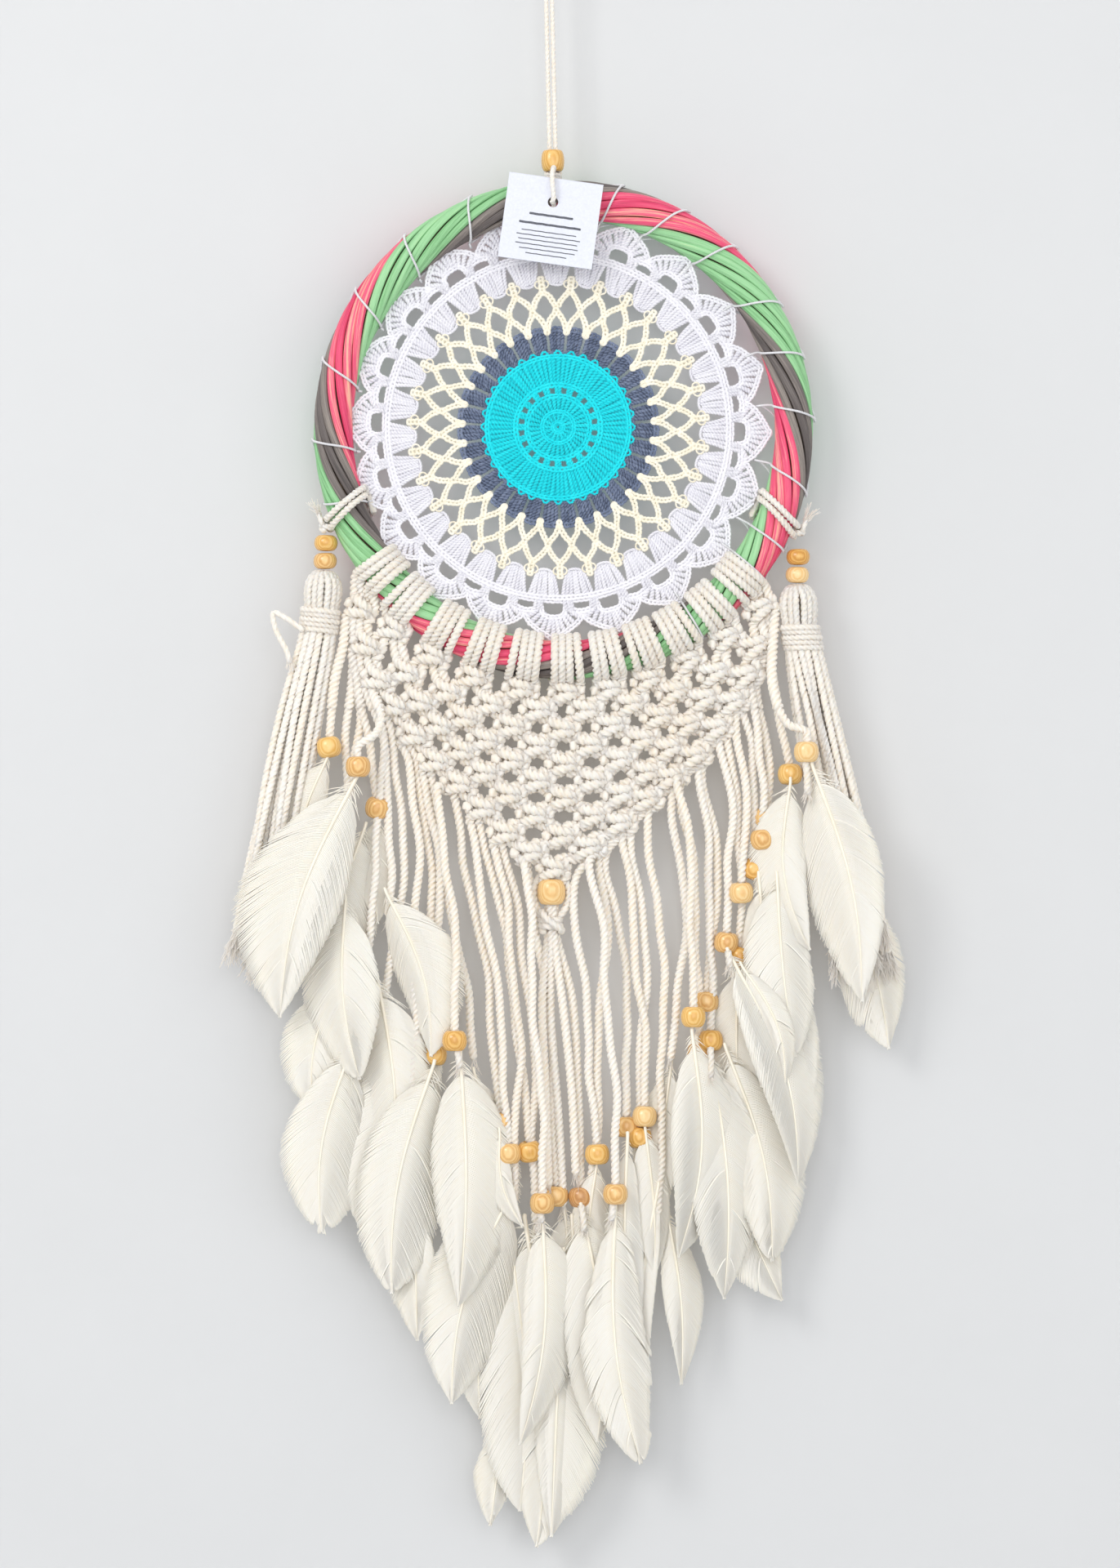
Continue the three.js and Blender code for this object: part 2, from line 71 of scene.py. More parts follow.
# ---------------------------------------------------------------- curves and meshes
def line(points, step=1.0, straight=False):
    """Smooth curve through the points, as points about `step` apart."""
    p = np.asarray(points, float)
    keep = np.r_[True, np.linalg.norm(np.diff(p, axis=0), axis=1) > 1e-6]
    p = p[keep]
    if len(p) > 2 and not straight:
        ext = np.vstack([2 * p[0] - p[1], p, 2 * p[-1] - p[-2]])
        u = np.linspace(0, 1, 9)[:-1, None]
        out = []
        for i in range(len(p) - 1):
            a, b, c, d = ext[i : i + 4]
            t1 = max(np.linalg.norm(b - a), 1e-6) ** 0.5
            t2 = t1 + max(np.linalg.norm(c - b), 1e-6) ** 0.5
            t3 = t2 + max(np.linalg.norm(d - c), 1e-6) ** 0.5
            t = t1 + (t2 - t1) * u
            a1 = (t1 - t) / t1 * a + t / t1 * b
            a2 = (t2 - t) / (t2 - t1) * b + (t - t1) / (t2 - t1) * c
            a3 = (t3 - t) / (t3 - t2) * c + (t - t2) / (t3 - t2) * d
            b1 = (t2 - t) / t2 * a1 + t / t2 * a2
            b2 = (t3 - t) / (t3 - t1) * a2 + (t - t1) / (t3 - t1) * a3
            out.append((t2 - t) / (t2 - t1) * b1 + (t - t1) / (t2 - t1) * b2)
        out.append(p[-1:])
        p = np.vstack(out)
    s = np.r_[0, np.cumsum(np.linalg.norm(np.diff(p, axis=0), axis=1))]
    n = max(2, int(round(s[-1] / step)) + 1)
    q = np.linspace(0, s[-1], n)
    return np.stack([np.interp(q, s, p[:, k]) for k in range(3)], 1)


def length_of(p):
    return float(np.linalg.norm(np.diff(np.asarray(p, float), axis=0), axis=1).sum())


def frames_of(p, start=None):
    t = np.gradient(p, axis=0)
    t /= np.maximum(np.linalg.norm(t, axis=1), 1e-9)[:, None]
    ref = np.array(start if start is not None else (0.0, -1.0, 0.0))
    if abs(t[0] @ ref) > 0.9:
        ref = np.array((1.0, 0.0, 0.0))
    n = ref - t[0] * (t[0] @ ref)
    n /= np.linalg.norm(n)
    nx, ny, nz = n.tolist()
    rows = []
    for tx, ty, tz in t.tolist():
        d = nx * tx + ny * ty + nz * tz
        nx, ny, nz = nx - d * tx, ny - d * ty, nz - d * tz
        m = math.sqrt(nx * nx + ny * ny + nz * nz) or 1.0
        nx, ny, nz = nx / m, ny / m, nz / m
        rows.append((nx, ny, nz))
    n = np.array(rows)
    return t, n, np.cross(t, n)


class Part:
    """Collects closed tubes and other closed shapes into one mesh."""

    def __init__(self):
        self.v, self.q, self.t, self.fib, self.tint, self.rise, self.n = [], [], [], [], [], [], 0

    def grid(self, rings, fib=None, closed=False, caps=True, tint=0.5, rise=None):
        """rings: (n, m, 3). Each ring counter-clockwise seen against the direction of travel."""
        n, m = rings.shape[:2]
        idx = np.arange(n * m).reshape(n, m) + self.n
        a = idx if closed else idx[:-1]
        b = np.roll(idx, -1, 0) if closed else idx[1:]
        quads = np.stack([a, np.roll(a, -1, 1), np.roll(b, -1, 1), b], -1).reshape(-1, 4)
        self.q.append(quads)
        v = rings.reshape(-1, 3)
        f = np.zeros_like(v) if fib is None else fib.reshape(-1, 3)
        total = n * m
        if caps and not closed:
            c0 = rings[0].mean(0)
            c1 = rings[-1].mean(0)
            e0 = rings[0].mean(0) - rings[1].mean(0)
            e1 = rings[-1].mean(0) - rings[-2].mean(0)
            r0 = np.linalg.norm(rings[0] - c0, axis=1).mean()
            r1 = np.linalg.norm(rings[-1] - c1, axis=1).mean()
            c0 = c0 + e0 / max(np.linalg.norm(e0), 1e-9) * r0 * 0.45
            c1 = c1 + e1 / max(np.linalg.norm(e1), 1e-9) * r1 * 0.45
            v = np.vstack([v, c0, c1])
            f = np.vstack([f, f[0], f[-1]])
            i0, i1 = self.n + total, self.n + total + 1
            self.t.append(np.stack([np.roll(idx[0], -1), idx[0], np.full(m, i0)], -1))
            self.t.append(np.stack([idx[-1], np.roll(idx[-1], -1), np.full(m, i1)], -1))
            total += 2
        self.v.append(v)
        self.fib.append(f)
        self.tint.append(np.full(total, tint))
        up = np.ones(total)
        if rise is not None:
            up[: n * m] = np.broadcast_to(rise, (n, m)).ravel()
        self.rise.append(up)
        self.n += total

    def tube(self, p, radius, plies=0, pitch=9.0, phase=0.0, sides=12, lobe=0.3, flat=(1.0, 1.0), closed=False, start=None, tint=None, turn=None):
        p = np.asarray(p, float)
        t, n, b = frames_of(p, start)
        s = np.r_[0, np.cumsum(np.linalg.norm(np.diff(p, axis=0), axis=1))]
        r = np.broadcast_to(np.asarray(radius, float), (len(p),))
        th = 2 * np.pi * np.arange(sides) / sides
        shape = np.ones(sides)
        spin = np.zeros(len(p))
        if plies:
            shape = 1 - lobe * (1 - np.abs(np.cos(plies * th / 2)) ** 0.8)
            spin = 2 * np.pi * s / pitch + phase
        if turn is not None:
            spin = spin + turn
        a = th[None, :] + spin[:, None]
        if flat != (1.0, 1.0):
            x, y = np.cos(th) * flat[0], np.sin(th) * flat[1]
            off = r[:, None, None] * (x[None, :, None] * n[:, None, :] + y[None, :, None] * b[:, None, :])
        else:
            rr = r[:, None] * shape[None, :]
            off = rr[..., None] * (np.cos(a)[..., None] * n[:, None, :] + np.sin(a)[..., None] * b[:, None, :])
        rings = p[:, None, :] + off
        fib = np.stack(
            [np.broadcast_to(s[:, None], a.shape), r[:, None] * np.cos(th)[None, :], r[:, None] * np.sin(th)[None, :]], -1
        ) + np.array([self.n * 0.37 % 97, 0, 0])
        self.grid(rings, fib, closed=closed, tint=rng.random() if tint is None else tint, rise=shape[None, :] if plies else None)
        return s[-1]

    def make(self, name, mat, body=None, smooth=True):
        v = np.concatenate(self.v) * MM
        q = np.concatenate(self.q) if self.q else np.zeros((0, 4), int)
        t = np.concatenate(self.t) if self.t else np.zeros((0, 3), int)
        me = bpy.data.meshes.new(name)
        me.vertices.add(len(v))
        me.vertices.foreach_set("co", v.astype(np.float32).ravel())
        loops = np.concatenate([q.ravel(), t.ravel()]).astype(np.int32)
        me.loops.add(len(loops))
        me.loops.foreach_set("vertex_index", loops)
        me.polygons.add(len(q) + len(t))
        start = np.concatenate([np.arange(len(q)) * 4, q.size + np.arange(len(t)) * 3]).astype(np.int32)
        me.polygons.foreach_set("loop_start", start)
        me.update(calc_edges=True)
        me.validate()
        me.attributes.new("fib", "FLOAT_VECTOR", "POINT").data.foreach_set("vector", np.concatenate(self.fib).astype(np.float32).ravel())
        me.attributes.new("tint", "FLOAT", "POINT").data.foreach_set("value", np.concatenate(self.tint).astype(np.float32))
        me.attributes.new("rise", "FLOAT", "POINT").data.foreach_set("value", np.concatenate(self.rise).astype(np.float32))
        me.polygons.foreach_set("use_smooth", np.full(len(me.polygons), smooth))
        me.materials.append(mat)
        ob = bpy.data.objects.new(name, me)
        scene.collection.objects.link(ob)
        if body:
            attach(ob, body)
        return ob


def on_hoop(angle, psi, rho):
    """angle clockwise from the top, psi round the band's section: 0 outwards, 90 degrees front."""
    r = HR + rho * np.cos(psi)
    return np.stack([HX + r * np.sin(angle), -rho * np.sin(psi), HZ + r * np.cos(angle)], -1)


# ---------------------------------------------------------------- materials
def new_material(name):
    m = bpy.data.materials.new(name)
    m.use_nodes = True
    nt = m.node_tree
    return m, nt, nt.nodes["Principled BSDF"]


def lin(c):
    return tuple(((x / 255) / 12.92 if x <= 10 else (((x / 255) + 0.055) / 1.055) ** 2.4) for x in c) + (1.0,)


def ramp(nt, factor, stops):
    r = nt.nodes.new("ShaderNodeValToRGB")
    while len(r.color_ramp.elements) < len(stops):
        r.color_ramp.elements.new(0.5)
    for e, (pos, colour) in zip(r.color_ramp.elements, stops):
        e.position = pos
        e.color = colour if len(colour) == 4 else lin(colour)
    nt.links.new(factor, r.inputs[0])
    return r.outputs[0]


def attribute(nt, name):
    a = nt.nodes.new("ShaderNodeAttribute")
    a.attribute_name = name
    return a


def scaled(nt, vector, by):
    m = nt.nodes.new("ShaderNodeVectorMath")
    m.operation = "MULTIPLY"
    nt.links.new(vector, m.inputs[0])
    m.inputs[1].default_value = by
    return m.outputs[0]


def noise(nt, vector, scale, detail=3.0, rough=0.6, distortion=0.0):
    n = nt.nodes.new("ShaderNodeTexNoise")
    n.inputs["Scale"].default_value = scale
    n.inputs["Detail"].default_value = detail
    n.inputs["Roughness"].default_value = rough
    n.inputs["Distortion"].default_value = distortion
    nt.links.new(vector, n.inputs["Vector"])
    return n.outputs["Fac"]


def maths(nt, op, a, b):
    m = nt.nodes.new("ShaderNodeMath")
    m.operation = op
    for i, x in enumerate((a, b)):
        if hasattr(x, "links"):
            nt.links.new(x, m.inputs[i])
        else:
            m.inputs[i].default_value = x
    return m.outputs[0]


def bump(nt, p, height, distance, strength=1.0):
    b = nt.nodes.new("ShaderNodeBump")
    b.inputs["Distance"].default_value = distance
    b.inputs["Strength"].default_value = strength
    nt.links.new(height, b.inputs["Height"])
    nt.links.new(b.outputs[0], p.inputs["Normal"])


def yarn(name, dark, mid, light, fuzz=0.5, stretch=(0.5, 3.0, 3.0), sheen=0.25, rough=0.85, groove_painted_shade=0.8):
    """Spun yarn: fibres that run along the plies, with uneven tone, and painted shade that darkens the grooves between
    the plies.
    """
    m, nt, p = new_material(name)
    f = attribute(nt, "fib").outputs["Vector"]
    fibres = noise(nt, scaled(nt, f, stretch), 1.6, 4, 0.65)
    slow = noise(nt, scaled(nt, f, (0.07, 0.25, 0.25)), 1.0, 2, 0.5)
    tint = attribute(nt, "tint").outputs["Fac"]
    mix = maths(nt, "ADD", maths(nt, "MULTIPLY", fibres, 0.62), maths(nt, "MULTIPLY", slow, 0.28))
    mix = maths(nt, "ADD", mix, maths(nt, "MULTIPLY", tint, 0.1))
    # painted shade: where the ply section dips (rise below 1) the colour is darkened, as if the groove lay in shadow
    rise = attribute(nt, "rise").outputs["Fac"]
    mix = maths(nt, "SUBTRACT", mix, maths(nt, "MULTIPLY", maths(nt, "SUBTRACT", 1.0, rise), groove_painted_shade))
    nt.links.new(ramp(nt, mix, [(0.25, dark), (0.43, mid), (0.6, light)]), p.inputs["Base Color"])
    p.inputs["Roughness"].default_value = rough
    p.inputs["Sheen Weight"].default_value = sheen
    p.inputs["Sheen Roughness"].default_value = 0.5
    p.inputs["Specular IOR Level"].default_value = 0.25
    bump(nt, p, fibres, 0.00035 * fuzz, 0.8)
    return m


# the groove values set how dark the painted shade in the ply grooves is
COTTON = yarn("cotton_cord", (246, 226, 200), (251, 240, 226), (253, 247, 238), groove_painted_shade=0.22)
COTTON_FINE = yarn("cotton_fine", (247, 230, 206), (252, 242, 229), (254, 249, 241), stretch=(0.8, 4, 4), groove_painted_shade=0.3)
for soft in (COTTON, COTTON_FINE):
    inner = soft.node_tree.nodes["Principled BSDF"].inputs
    inner["Subsurface Weight"].default_value = 0.4
    inner["Subsurface Radius"].default_value = (1.0, 0.8, 0.6)
    inner["Subsurface Scale"].default_value = 0.004
THREAD = yarn("white_thread", (226, 226, 230), (246, 246, 249), (255, 255, 255), stretch=(1, 5, 5), rough=0.6)
TURQ = yarn("yarn_turquoise", (0, 190, 203), (0, 219, 232), (36, 234, 243), stretch=(1, 5, 5), rough=0.55, sheen=0.15, groove_painted_shade=0.45)
SLATE = yarn("yarn_slate", (62, 71, 92), (96, 108, 134), (136, 147, 172), stretch=(1, 5, 5), rough=0.65, sheen=0.15, groove_painted_shade=0.6)
CREAM = yarn("yarn_cream", (222, 208, 176), (247, 240, 219), (254, 250, 238), stretch=(1, 5, 5), rough=0.65, sheen=0.15, groove_painted_shade=0.5)
WHITE = yarn("yarn_white", (214, 212, 223), (239, 238, 245), (248, 247, 251), stretch=(1, 5, 5), rough=0.65, sheen=0.15, groove_painted_shade=0.5)


def reed_material(name, dark, mid, light, streak):
    """Dyed reed: long streaks where the grain took the dye unevenly, fine splits along it."""
    m, nt, p = new_material(name)
    f = attribute(nt, "fib").outputs["Vector"]
    grain = noise(nt, scaled(nt, f, (0.05, 2.4, 2.4)), 1.3, 5, 0.7)
    long = noise(nt, scaled(nt, f, (0.012, 0.5, 0.5)), 1.5, 2, 0.5)
    tint = attribute(nt, "tint").outputs["Fac"]
    mix = maths(nt, "ADD", maths(nt, "MULTIPLY", grain, 0.5), maths(nt, "MULTIPLY", long, 0.3))
    mix = maths(nt, "ADD", mix, maths(nt, "MULTIPLY", tint, 0.2))
    nt.links.new(ramp(nt, mix, [(0.34, dark), (0.44, mid), (0.54, light), (0.62, streak)]), p.inputs["Base Color"])
    rough = maths(nt, "ADD", maths(nt, "MULTIPLY", grain, 0.3), 0.35)
    nt.links.new(rough, p.inputs["Roughness"])
    bump(nt, p, grain, 0.0002, 0.7)
    return m


REED = {
    "green": reed_material("reed_green", (112, 172, 112), (150, 206, 150), (166, 216, 164), (208, 228, 158)),
    "pink": reed_material("reed_pink", (170, 38, 74), (226, 64, 108), (238, 96, 130), (248, 188, 160)),
    "grey": reed_material("reed_grey", (62, 56, 54), (96, 88, 86), (118, 110, 106), (150, 140, 132)),
}


def wood(name, dark, mid, light, axis="Z", rough=0.22):
    """Turned, lacquered bead wood: growth rings across the bead and fine pores."""
    m, nt, p = new_material(name)
    f = attribute(nt, "fib").outputs["Vector"]
    tint = attribute(nt, "tint").outputs["Fac"]
    w = nt.nodes.new("ShaderNodeTexWave")
    w.wave_type = "RINGS"
    w.rings_direction = "X"
    w.inputs["Scale"].default_value = 0.32
    w.inputs["Distortion"].default_value = 5.0
    w.inputs["Detail"].default_value = 3.0
    w.inputs["Detail Scale"].default_value = 0.8
    nt.links.new(scaled(nt, f, (1.0, 1.0, 0.35)), w.inputs["Vector"])
    pores = noise(nt, scaled(nt, f, (2.5, 2.5, 0.5)), 1.5, 4, 0.7)
    mix = maths(nt, "ADD", maths(nt, "MULTIPLY", w.outputs["Fac"], 0.34), maths(nt, "MULTIPLY", pores, 0.34))
    mix = maths(nt, "ADD", mix, maths(nt, "MULTIPLY", tint, 0.32))
    nt.links.new(ramp(nt, mix, [(0.2, dark), (0.5, mid), (0.8, light)]), p.inputs["Base Color"])
    p.inputs["Roughness"].default_value = rough
    p.inputs["Coat Weight"].default_value = 0.35
    p.inputs["Coat Roughness"].default_value = 0.12
    bump(nt, p, pores, 0.0001, 0.4)
    return m


BEAD = wood("bead_wood", (214, 160, 92), (236, 194, 128), (246, 214, 158))
HONEY = wood("bead_honey", (206, 146, 66), (230, 180, 96), (243, 204, 132))
DARKBEAD = wood("bead_dark", (176, 120, 66), (206, 154, 98), (226, 182, 128))


def feather_material():
    m, nt, p = new_material("feather")
    f = attribute(nt, "fib").outputs["Vector"]
    barbs = noise(nt, scaled(nt, f, (0.25, 4, 4)), 1.2, 3, 0.6)
    tint = attribute(nt, "tint").outputs["Fac"]
    bands = noise(nt, scaled(nt, f, (0.06, 0.22, 3)), 1.0, 3, 0.6)
    mix = maths(nt, "ADD", maths(nt, "MULTIPLY", barbs, 0.4), maths(nt, "MULTIPLY", tint, 0.3))
    mix = maths(nt, "ADD", mix, maths(nt, "MULTIPLY", bands, 0.3))
    nt.links.new(ramp(nt, mix, [(0.12, (240, 227, 204)), (0.42, (251, 244, 230)), (0.75, (253, 249, 240))]), p.inputs["Base Color"])
    p.inputs["Roughness"].default_value = 0.5
    p.inputs["Sheen Weight"].default_value = 0.3
    p.inputs["Sheen Roughness"].default_value = 0.35
    p.inputs["Specular IOR Level"].default_value = 0.3
    p.inputs["Subsurface Weight"].default_value = 0.3
    p.inputs["Subsurface Radius"].default_value = (0.004, 0.0035, 0.003)
    bump(nt, p, barbs, 0.0002, 0.7)
    return m


FEATHER = feather_material()


def quill_material():
    m, nt, p = new_material("quill")
    f = attribute(nt, "fib").outputs["Vector"]
    n = noise(nt, scaled(nt, f, (0.05, 2, 2)), 1.0, 3, 0.5)
    nt.links.new(ramp(nt, n, [(0.3, (245, 236, 214)), (0.6, (251, 245, 231)), (0.8, (253, 249, 240))]), p.inputs["Base Color"])
    p.inputs["Roughness"].default_value = 0.35
    bump(nt, p, n, 0.00008, 0.5)
    return m


QUILL = quill_material()


def card_material():
    m, nt, p = new_material("card")
    c = nt.nodes.new("ShaderNodeTexCoord").outputs["Object"]
    n = noise(nt, c, 900, 4, 0.6)
    nt.links.new(ramp(nt, n, [(0.3, (217, 220, 231)), (0.7, (226, 229, 239))]), p.inputs["Base Color"])
    p.inputs["Roughness"].default_value = 0.5
    bump(nt, p, n, 0.00004, 0.4)
    return m


CARD = card_material()


def ink_material():
    m, nt, p = new_material("ink")
    c = nt.nodes.new("ShaderNodeTexCoord").outputs["Object"]
    n = noise(nt, c, 1500, 3, 0.6)
    nt.links.new(ramp(nt, n, [(0.3, (70, 72, 80)), (0.7, (104, 106, 116))]), p.inputs["Base Color"])
    p.inputs["Roughness"].default_value = 0.6
    return m


INK = ink_material()


# ---------------------------------------------------------------- hoop
def reeds():
    order = ["green"] * 5 + ["grey"] * 3 + ["pink"] * 4
    count = {"green": 0, "grey": 0, "pink": 0}
    n = 260
    a = 2 * np.pi * np.arange(n) / n
    u = np.array([-0.97, -0.9, -0.66, -0.33, 0.0, 0.33, 0.66, 0.9, 0.97, 0.7, 0.0, -0.7])
    rho = np.array([7.3, 7.95, 8.36, 8.52, 8.58, 8.52, 8.36, 7.95, 7.3, 6.5, 6.35, 6.5])
    for k in range(12):
        colour = order[k]
        count[colour] += 1
        wob = sum(rng.normal(0, 0.16) * np.sin(m * a + rng.uniform(0, 6.28)) for m in range(2, 9))
        lift = sum(rng.normal(0, 0.11) * np.sin(m * a + rng.uniform(0, 6.28)) for m in range(2, 10))
        tilt = sum(rng.normal(0, 0.10) * np.sin(m * a + rng.uniform(0, 6.28)) for m in range(1, 7))
        psi = np.pi - 4 * (a - 10 * RAD) + (k + 0.5) * np.pi / 6 + wob * 0.12
        half = 14.7 * RAD * (1 + 0.04 * lift)
        pp = psi[:, None] + half[:, None] * u[None, :]
        rr = rho[None, :] + lift[:, None] * 0.5 + tilt[:, None] * u[None, :]
        ring = on_hoop(a[:, None] + 0 * pp, pp, rr)
        s = a * HR * 1.05
        fib = np.stack([np.broadcast_to(s[:, None], pp.shape), pp * 0 + u[None, :] * 2.2 + k * 7.3, rr - 6], -1)
        part = Part()
        part.grid(ring[:, ::-1], fib[:, ::-1], closed=True, tint=rng.random())
        name = f"reed_{colour}_{count[colour]}"
        ob = part.make(f"hoop_{name}", REED[colour], "hoop")
        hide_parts(name)


def core_material():
    m, nt, p = new_material("core_wood")
    c = nt.nodes.new("ShaderNodeTexCoord").outputs["Object"]
    n = noise(nt, scaled(nt, c, (300, 300, 300)), 1.0, 4, 0.6)
    nt.links.new(ramp(nt, n, [(0.3, (70, 56, 44)), (0.6, (110, 90, 70)), (0.8, (140, 118, 92))]), p.inputs["Base Color"])
    p.inputs["Roughness"].default_value = 0.75
    bump(nt, p, n, 0.0003, 0.6)
    return m


reeds()
core_mat = core_material()
for ob in frame["nodes"] if not isinstance(frame["nodes"], dict) else frame["nodes"].values():
    if getattr(ob, "name", "") == "hoop_core":
        ob.data.materials.clear()
        ob.data.materials.append(core_mat)


# ---------------------------------------------------------------- doily
PXMM = 0.36


def pol(r_px, a, y=0.0):
    """Point of the doily: radius in crochet units of 0.36 mm, angle clockwise from the top in degrees."""
    r = np.asarray(r_px, float) * PXMM
    t = np.asarray(a, float) * RAD
    return np.stack(np.broadcast_arrays(DX + r * np.sin(t), np.asarray(y, float), DZ + r * np.cos(t)), -1)


def post(part, r0, r1, a0, a1, w0, w1, y=0.0, sides=8, bow=0.5, step=0.5, pitch=2.6):
    """One stitch standing from radius r0 to r1, slightly bowed, its yarn twisted."""
    jr = rng.normal(0, 0.5, 2)
    ja = rng.normal(0, 0.12, 3)
    rm = (r0 + r1) / 2
    p = line([pol(r0 + jr[0], a0 + ja[0], y + 0.25), pol(rm, (a0 + a1) / 2 + ja[1], y - bow), pol(r1 + jr[1], a1 + ja[2], y + 0.1)], step)
    w = np.linspace(w0, w1, len(p)) * 1.32
    part.tube(p, w, plies=2, pitch=pitch, phase=rng.uniform(0, 6), sides=sides, lobe=0.36)


def chain(part, pts, pitch=1.9, width=0.62, r=0.36, y_amp=0.35, sides=6, closed=False, step=0.42):
    """A row of chain stitches: each is a drop-shaped loop that starts inside the one before."""
    p = line(pts, 0.3)
    L = length_of(p)
    n = max(2, int(round(L / pitch)))
    pitch = L / n
    s = np.r_[0, np.cumsum(np.linalg.norm(np.diff(p, axis=0), axis=1))]
    t, nn, b = frames_of(p)

    def at(q, side, up):
        q = q % L if closed else min(max(q, 0), L)
        c = np.array([np.interp(q, s, p[:, k]) for k in range(3)])
        tt = np.array([np.interp(q, s, t[:, k]) for k in range(3)])
        side_dir = np.cross(tt, (0, -1.0, 0))
        side_dir /= np.linalg.norm(side_dir) + 1e-9
        return c + side_dir * side + np.array((0, -up, 0))

    for i in range(n):
        q = i * pitch
        w = width * rng.uniform(0.88, 1.12)
        loop = [
            at(q - 0.2 * pitch, 0.05, -y_amp),
            at(q + 0.25 * pitch, w * 0.8, 0.2),
            at(q + 0.8 * pitch, w, y_amp),
            at(q + 1.15 * pitch, w * 0.35, y_amp * 0.5),
            at(q + 1.22 * pitch, 0, 0.0),
            at(q + 1.15 * pitch, -w * 0.35, y_amp * 0.5),
            at(q + 0.8 * pitch, -w, y_amp),
            at(q + 0.25 * pitch, -w * 0.8, 0.2),
            at(q - 0.2 * pitch, -0.05, -y_amp),
        ]
        part.tube(line(loop, step), r * 1.22, sides=sides)


def ring_pts(r_px, a0=0, a1=360, n=90, y=0.0):
    a = np.linspace(a0, a1, n)
    return pol(r_px, a, y)


def doily():
    # turquoise centre
    c = Part()
    chain(c, ring_pts(7, n=30), pitch=1.7, width=0.5, r=0.42)
    n = 16
    for i in range(n):
        post(c, 2, 19, 360 * i / n, 360 * i / n + 3, 0.3, 0.9, y=0.1)
        post(c, 2, 19, 360 * i / n + 11, 360 * i / n + 14, 0.3, 0.9, y=0.6, bow=0.1)
    chain(c, ring_pts(19.5, n=60, y=-0.2), pitch=1.55, width=0.6, r=0.45)
    n = 34
    for i in range(n):
        post(c, 20, 37, 360 * i / n, 360 * i / n + 2, 0.62, 1.05, bow=0.6)
        post(c, 20, 38, 360 * i / n + 5.3, 360 * i / n + 7.3, 0.6, 0.98, y=0.7, bow=0.1)
    chain(c, ring_pts(38.5, n=90, y=-0.2), pitch=2.0, width=0.75, r=0.5)
    for i in range(20):
        for d in (-2.1, 2.1):
            post(c, 39, 52, 18 * i + d, 18 * i + d * 1.25, 0.75, 0.8, y=-0.1)
    chain(c, ring_pts(52, n=110, y=-0.25), pitch=2.0, width=0.78, r=0.52)
    n = 84
    for i in range(n):
        a = 360 * i / n
        post(c, 53, 86, a, a + rng.normal(0.6, 0.5), 0.7, 1.0, bow=0.5, pitch=3.0)
        post(c, 53, 87, a + 2.1, a + 2.7, 0.7, 0.95, y=0.75, bow=0.1, pitch=3.0)
    chain(c, ring_pts(87, n=150, y=-0.2), pitch=2.0, width=0.7, r=0.5)
    for i in range(36):
        a = 10 * i + rng.normal(0, 0.4)
        c.tube(line([pol(86, a - 3.4, 0), pol(91, a - 2.2, -0.4), pol(94, a, -0.5), pol(91.5, a + 2.2, -0.2), pol(86, a + 3.2, 0.3)], 0.45), 0.62, plies=2, pitch=2.4, sides=8, lobe=0.36)
    ob = c.make("doily_turquoise_centre", TURQ, "hoop")
    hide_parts("doily_center")

    # slate ring of clusters
    c = Part()
    chain(c, ring_pts(91, n=150, y=0.45), pitch=2.0, width=0.6, r=0.5)
    gaps = 360 / 31
    off = 5.0
    for i in range(31):
        h = off + gaps * (i + 0.5)
        for d in (-1.5, -0.5, 0.5, 1.5):
            a = h + d * 2.45
            post(c, 92, 118, h + d * 2.3, a, 0.72, 0.88, bow=0.5, pitch=2.8)
            mid = 104 + rng.normal(0, 1.5)
            c.tube(line([pol(mid - 4, a - 1.1, -0.5), pol(mid, a, -1.0), pol(mid + 4, a + 1.1, -0.5)], 0.4), 0.42, sides=6)
        chain(c, [pol(119, h - 4.9, -0.2), pol(120.5, h, -0.35), pol(119, h + 4.9, -0.2)], pitch=2.0, width=0.85, r=0.5)
    ob = c.make("doily_slate_clusters", SLATE, "hoop")
    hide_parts("doily_slate_ring")

    # cream net
    c = Part()

    def link(pts, w=0.66):
        pts = [np.asarray(q) + np.array((rng.normal(0, 0.12), rng.normal(0, 0.08), rng.normal(0, 0.12))) for q in pts]
        chain(c, pts, pitch=1.8, width=w * 1.3, r=0.52, y_amp=0.45, step=0.45)

    for i in range(31):
        g = off + gaps * i
        h = g + gaps / 2
        hp = g - gaps / 2
        link([pol(114, g + 0.2, -0.5), pol(124, g + 0.9, -0.5), pol(131, g + 2.2, -0.2), pol(137.5, g + 4.2, 0), pol(141.5, h - 0.3, 0)])
        link([pol(114, g - 0.2, -0.5), pol(124, g - 0.9, -0.5), pol(131, g - 2.2, -0.2), pol(137.5, g - 4.2, 0), pol(141.5, hp + 0.3, 0)])
        link([pol(140, h, 0.2), pol(150, h, 0)], 0.8)
        link([pol(148, h + 0.5, 0), pol(154, h + 1.6, 0), pol(161, h + 3.6, 0), pol(166.5, h + gaps / 2 - 0.3, 0)])
        link([pol(148, h - 0.5, 0), pol(154, h - 1.6, 0), pol(161, h - 3.6, 0), pol(166.5, h - gaps / 2 + 0.3, 0)])
        link([pol(165, g, 0.1), pol(172, g, -0.2), pol(185, g, -0.4)], 0.8)
        for side in (-1, 1):  # picot beside each post
            c.tube(line([pol(170, g + 0.8 * side, -0.3), pol(174, g + 2.6 * side, -0.7), pol(179, g + 2.4 * side, -0.6), pol(181, g + 0.6 * side, -0.3)], 0.45), 0.45, plies=2, pitch=2.4, sides=6)
    ob = c.make("doily_cream_net", CREAM, "hoop")
    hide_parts("doily_cream_net")

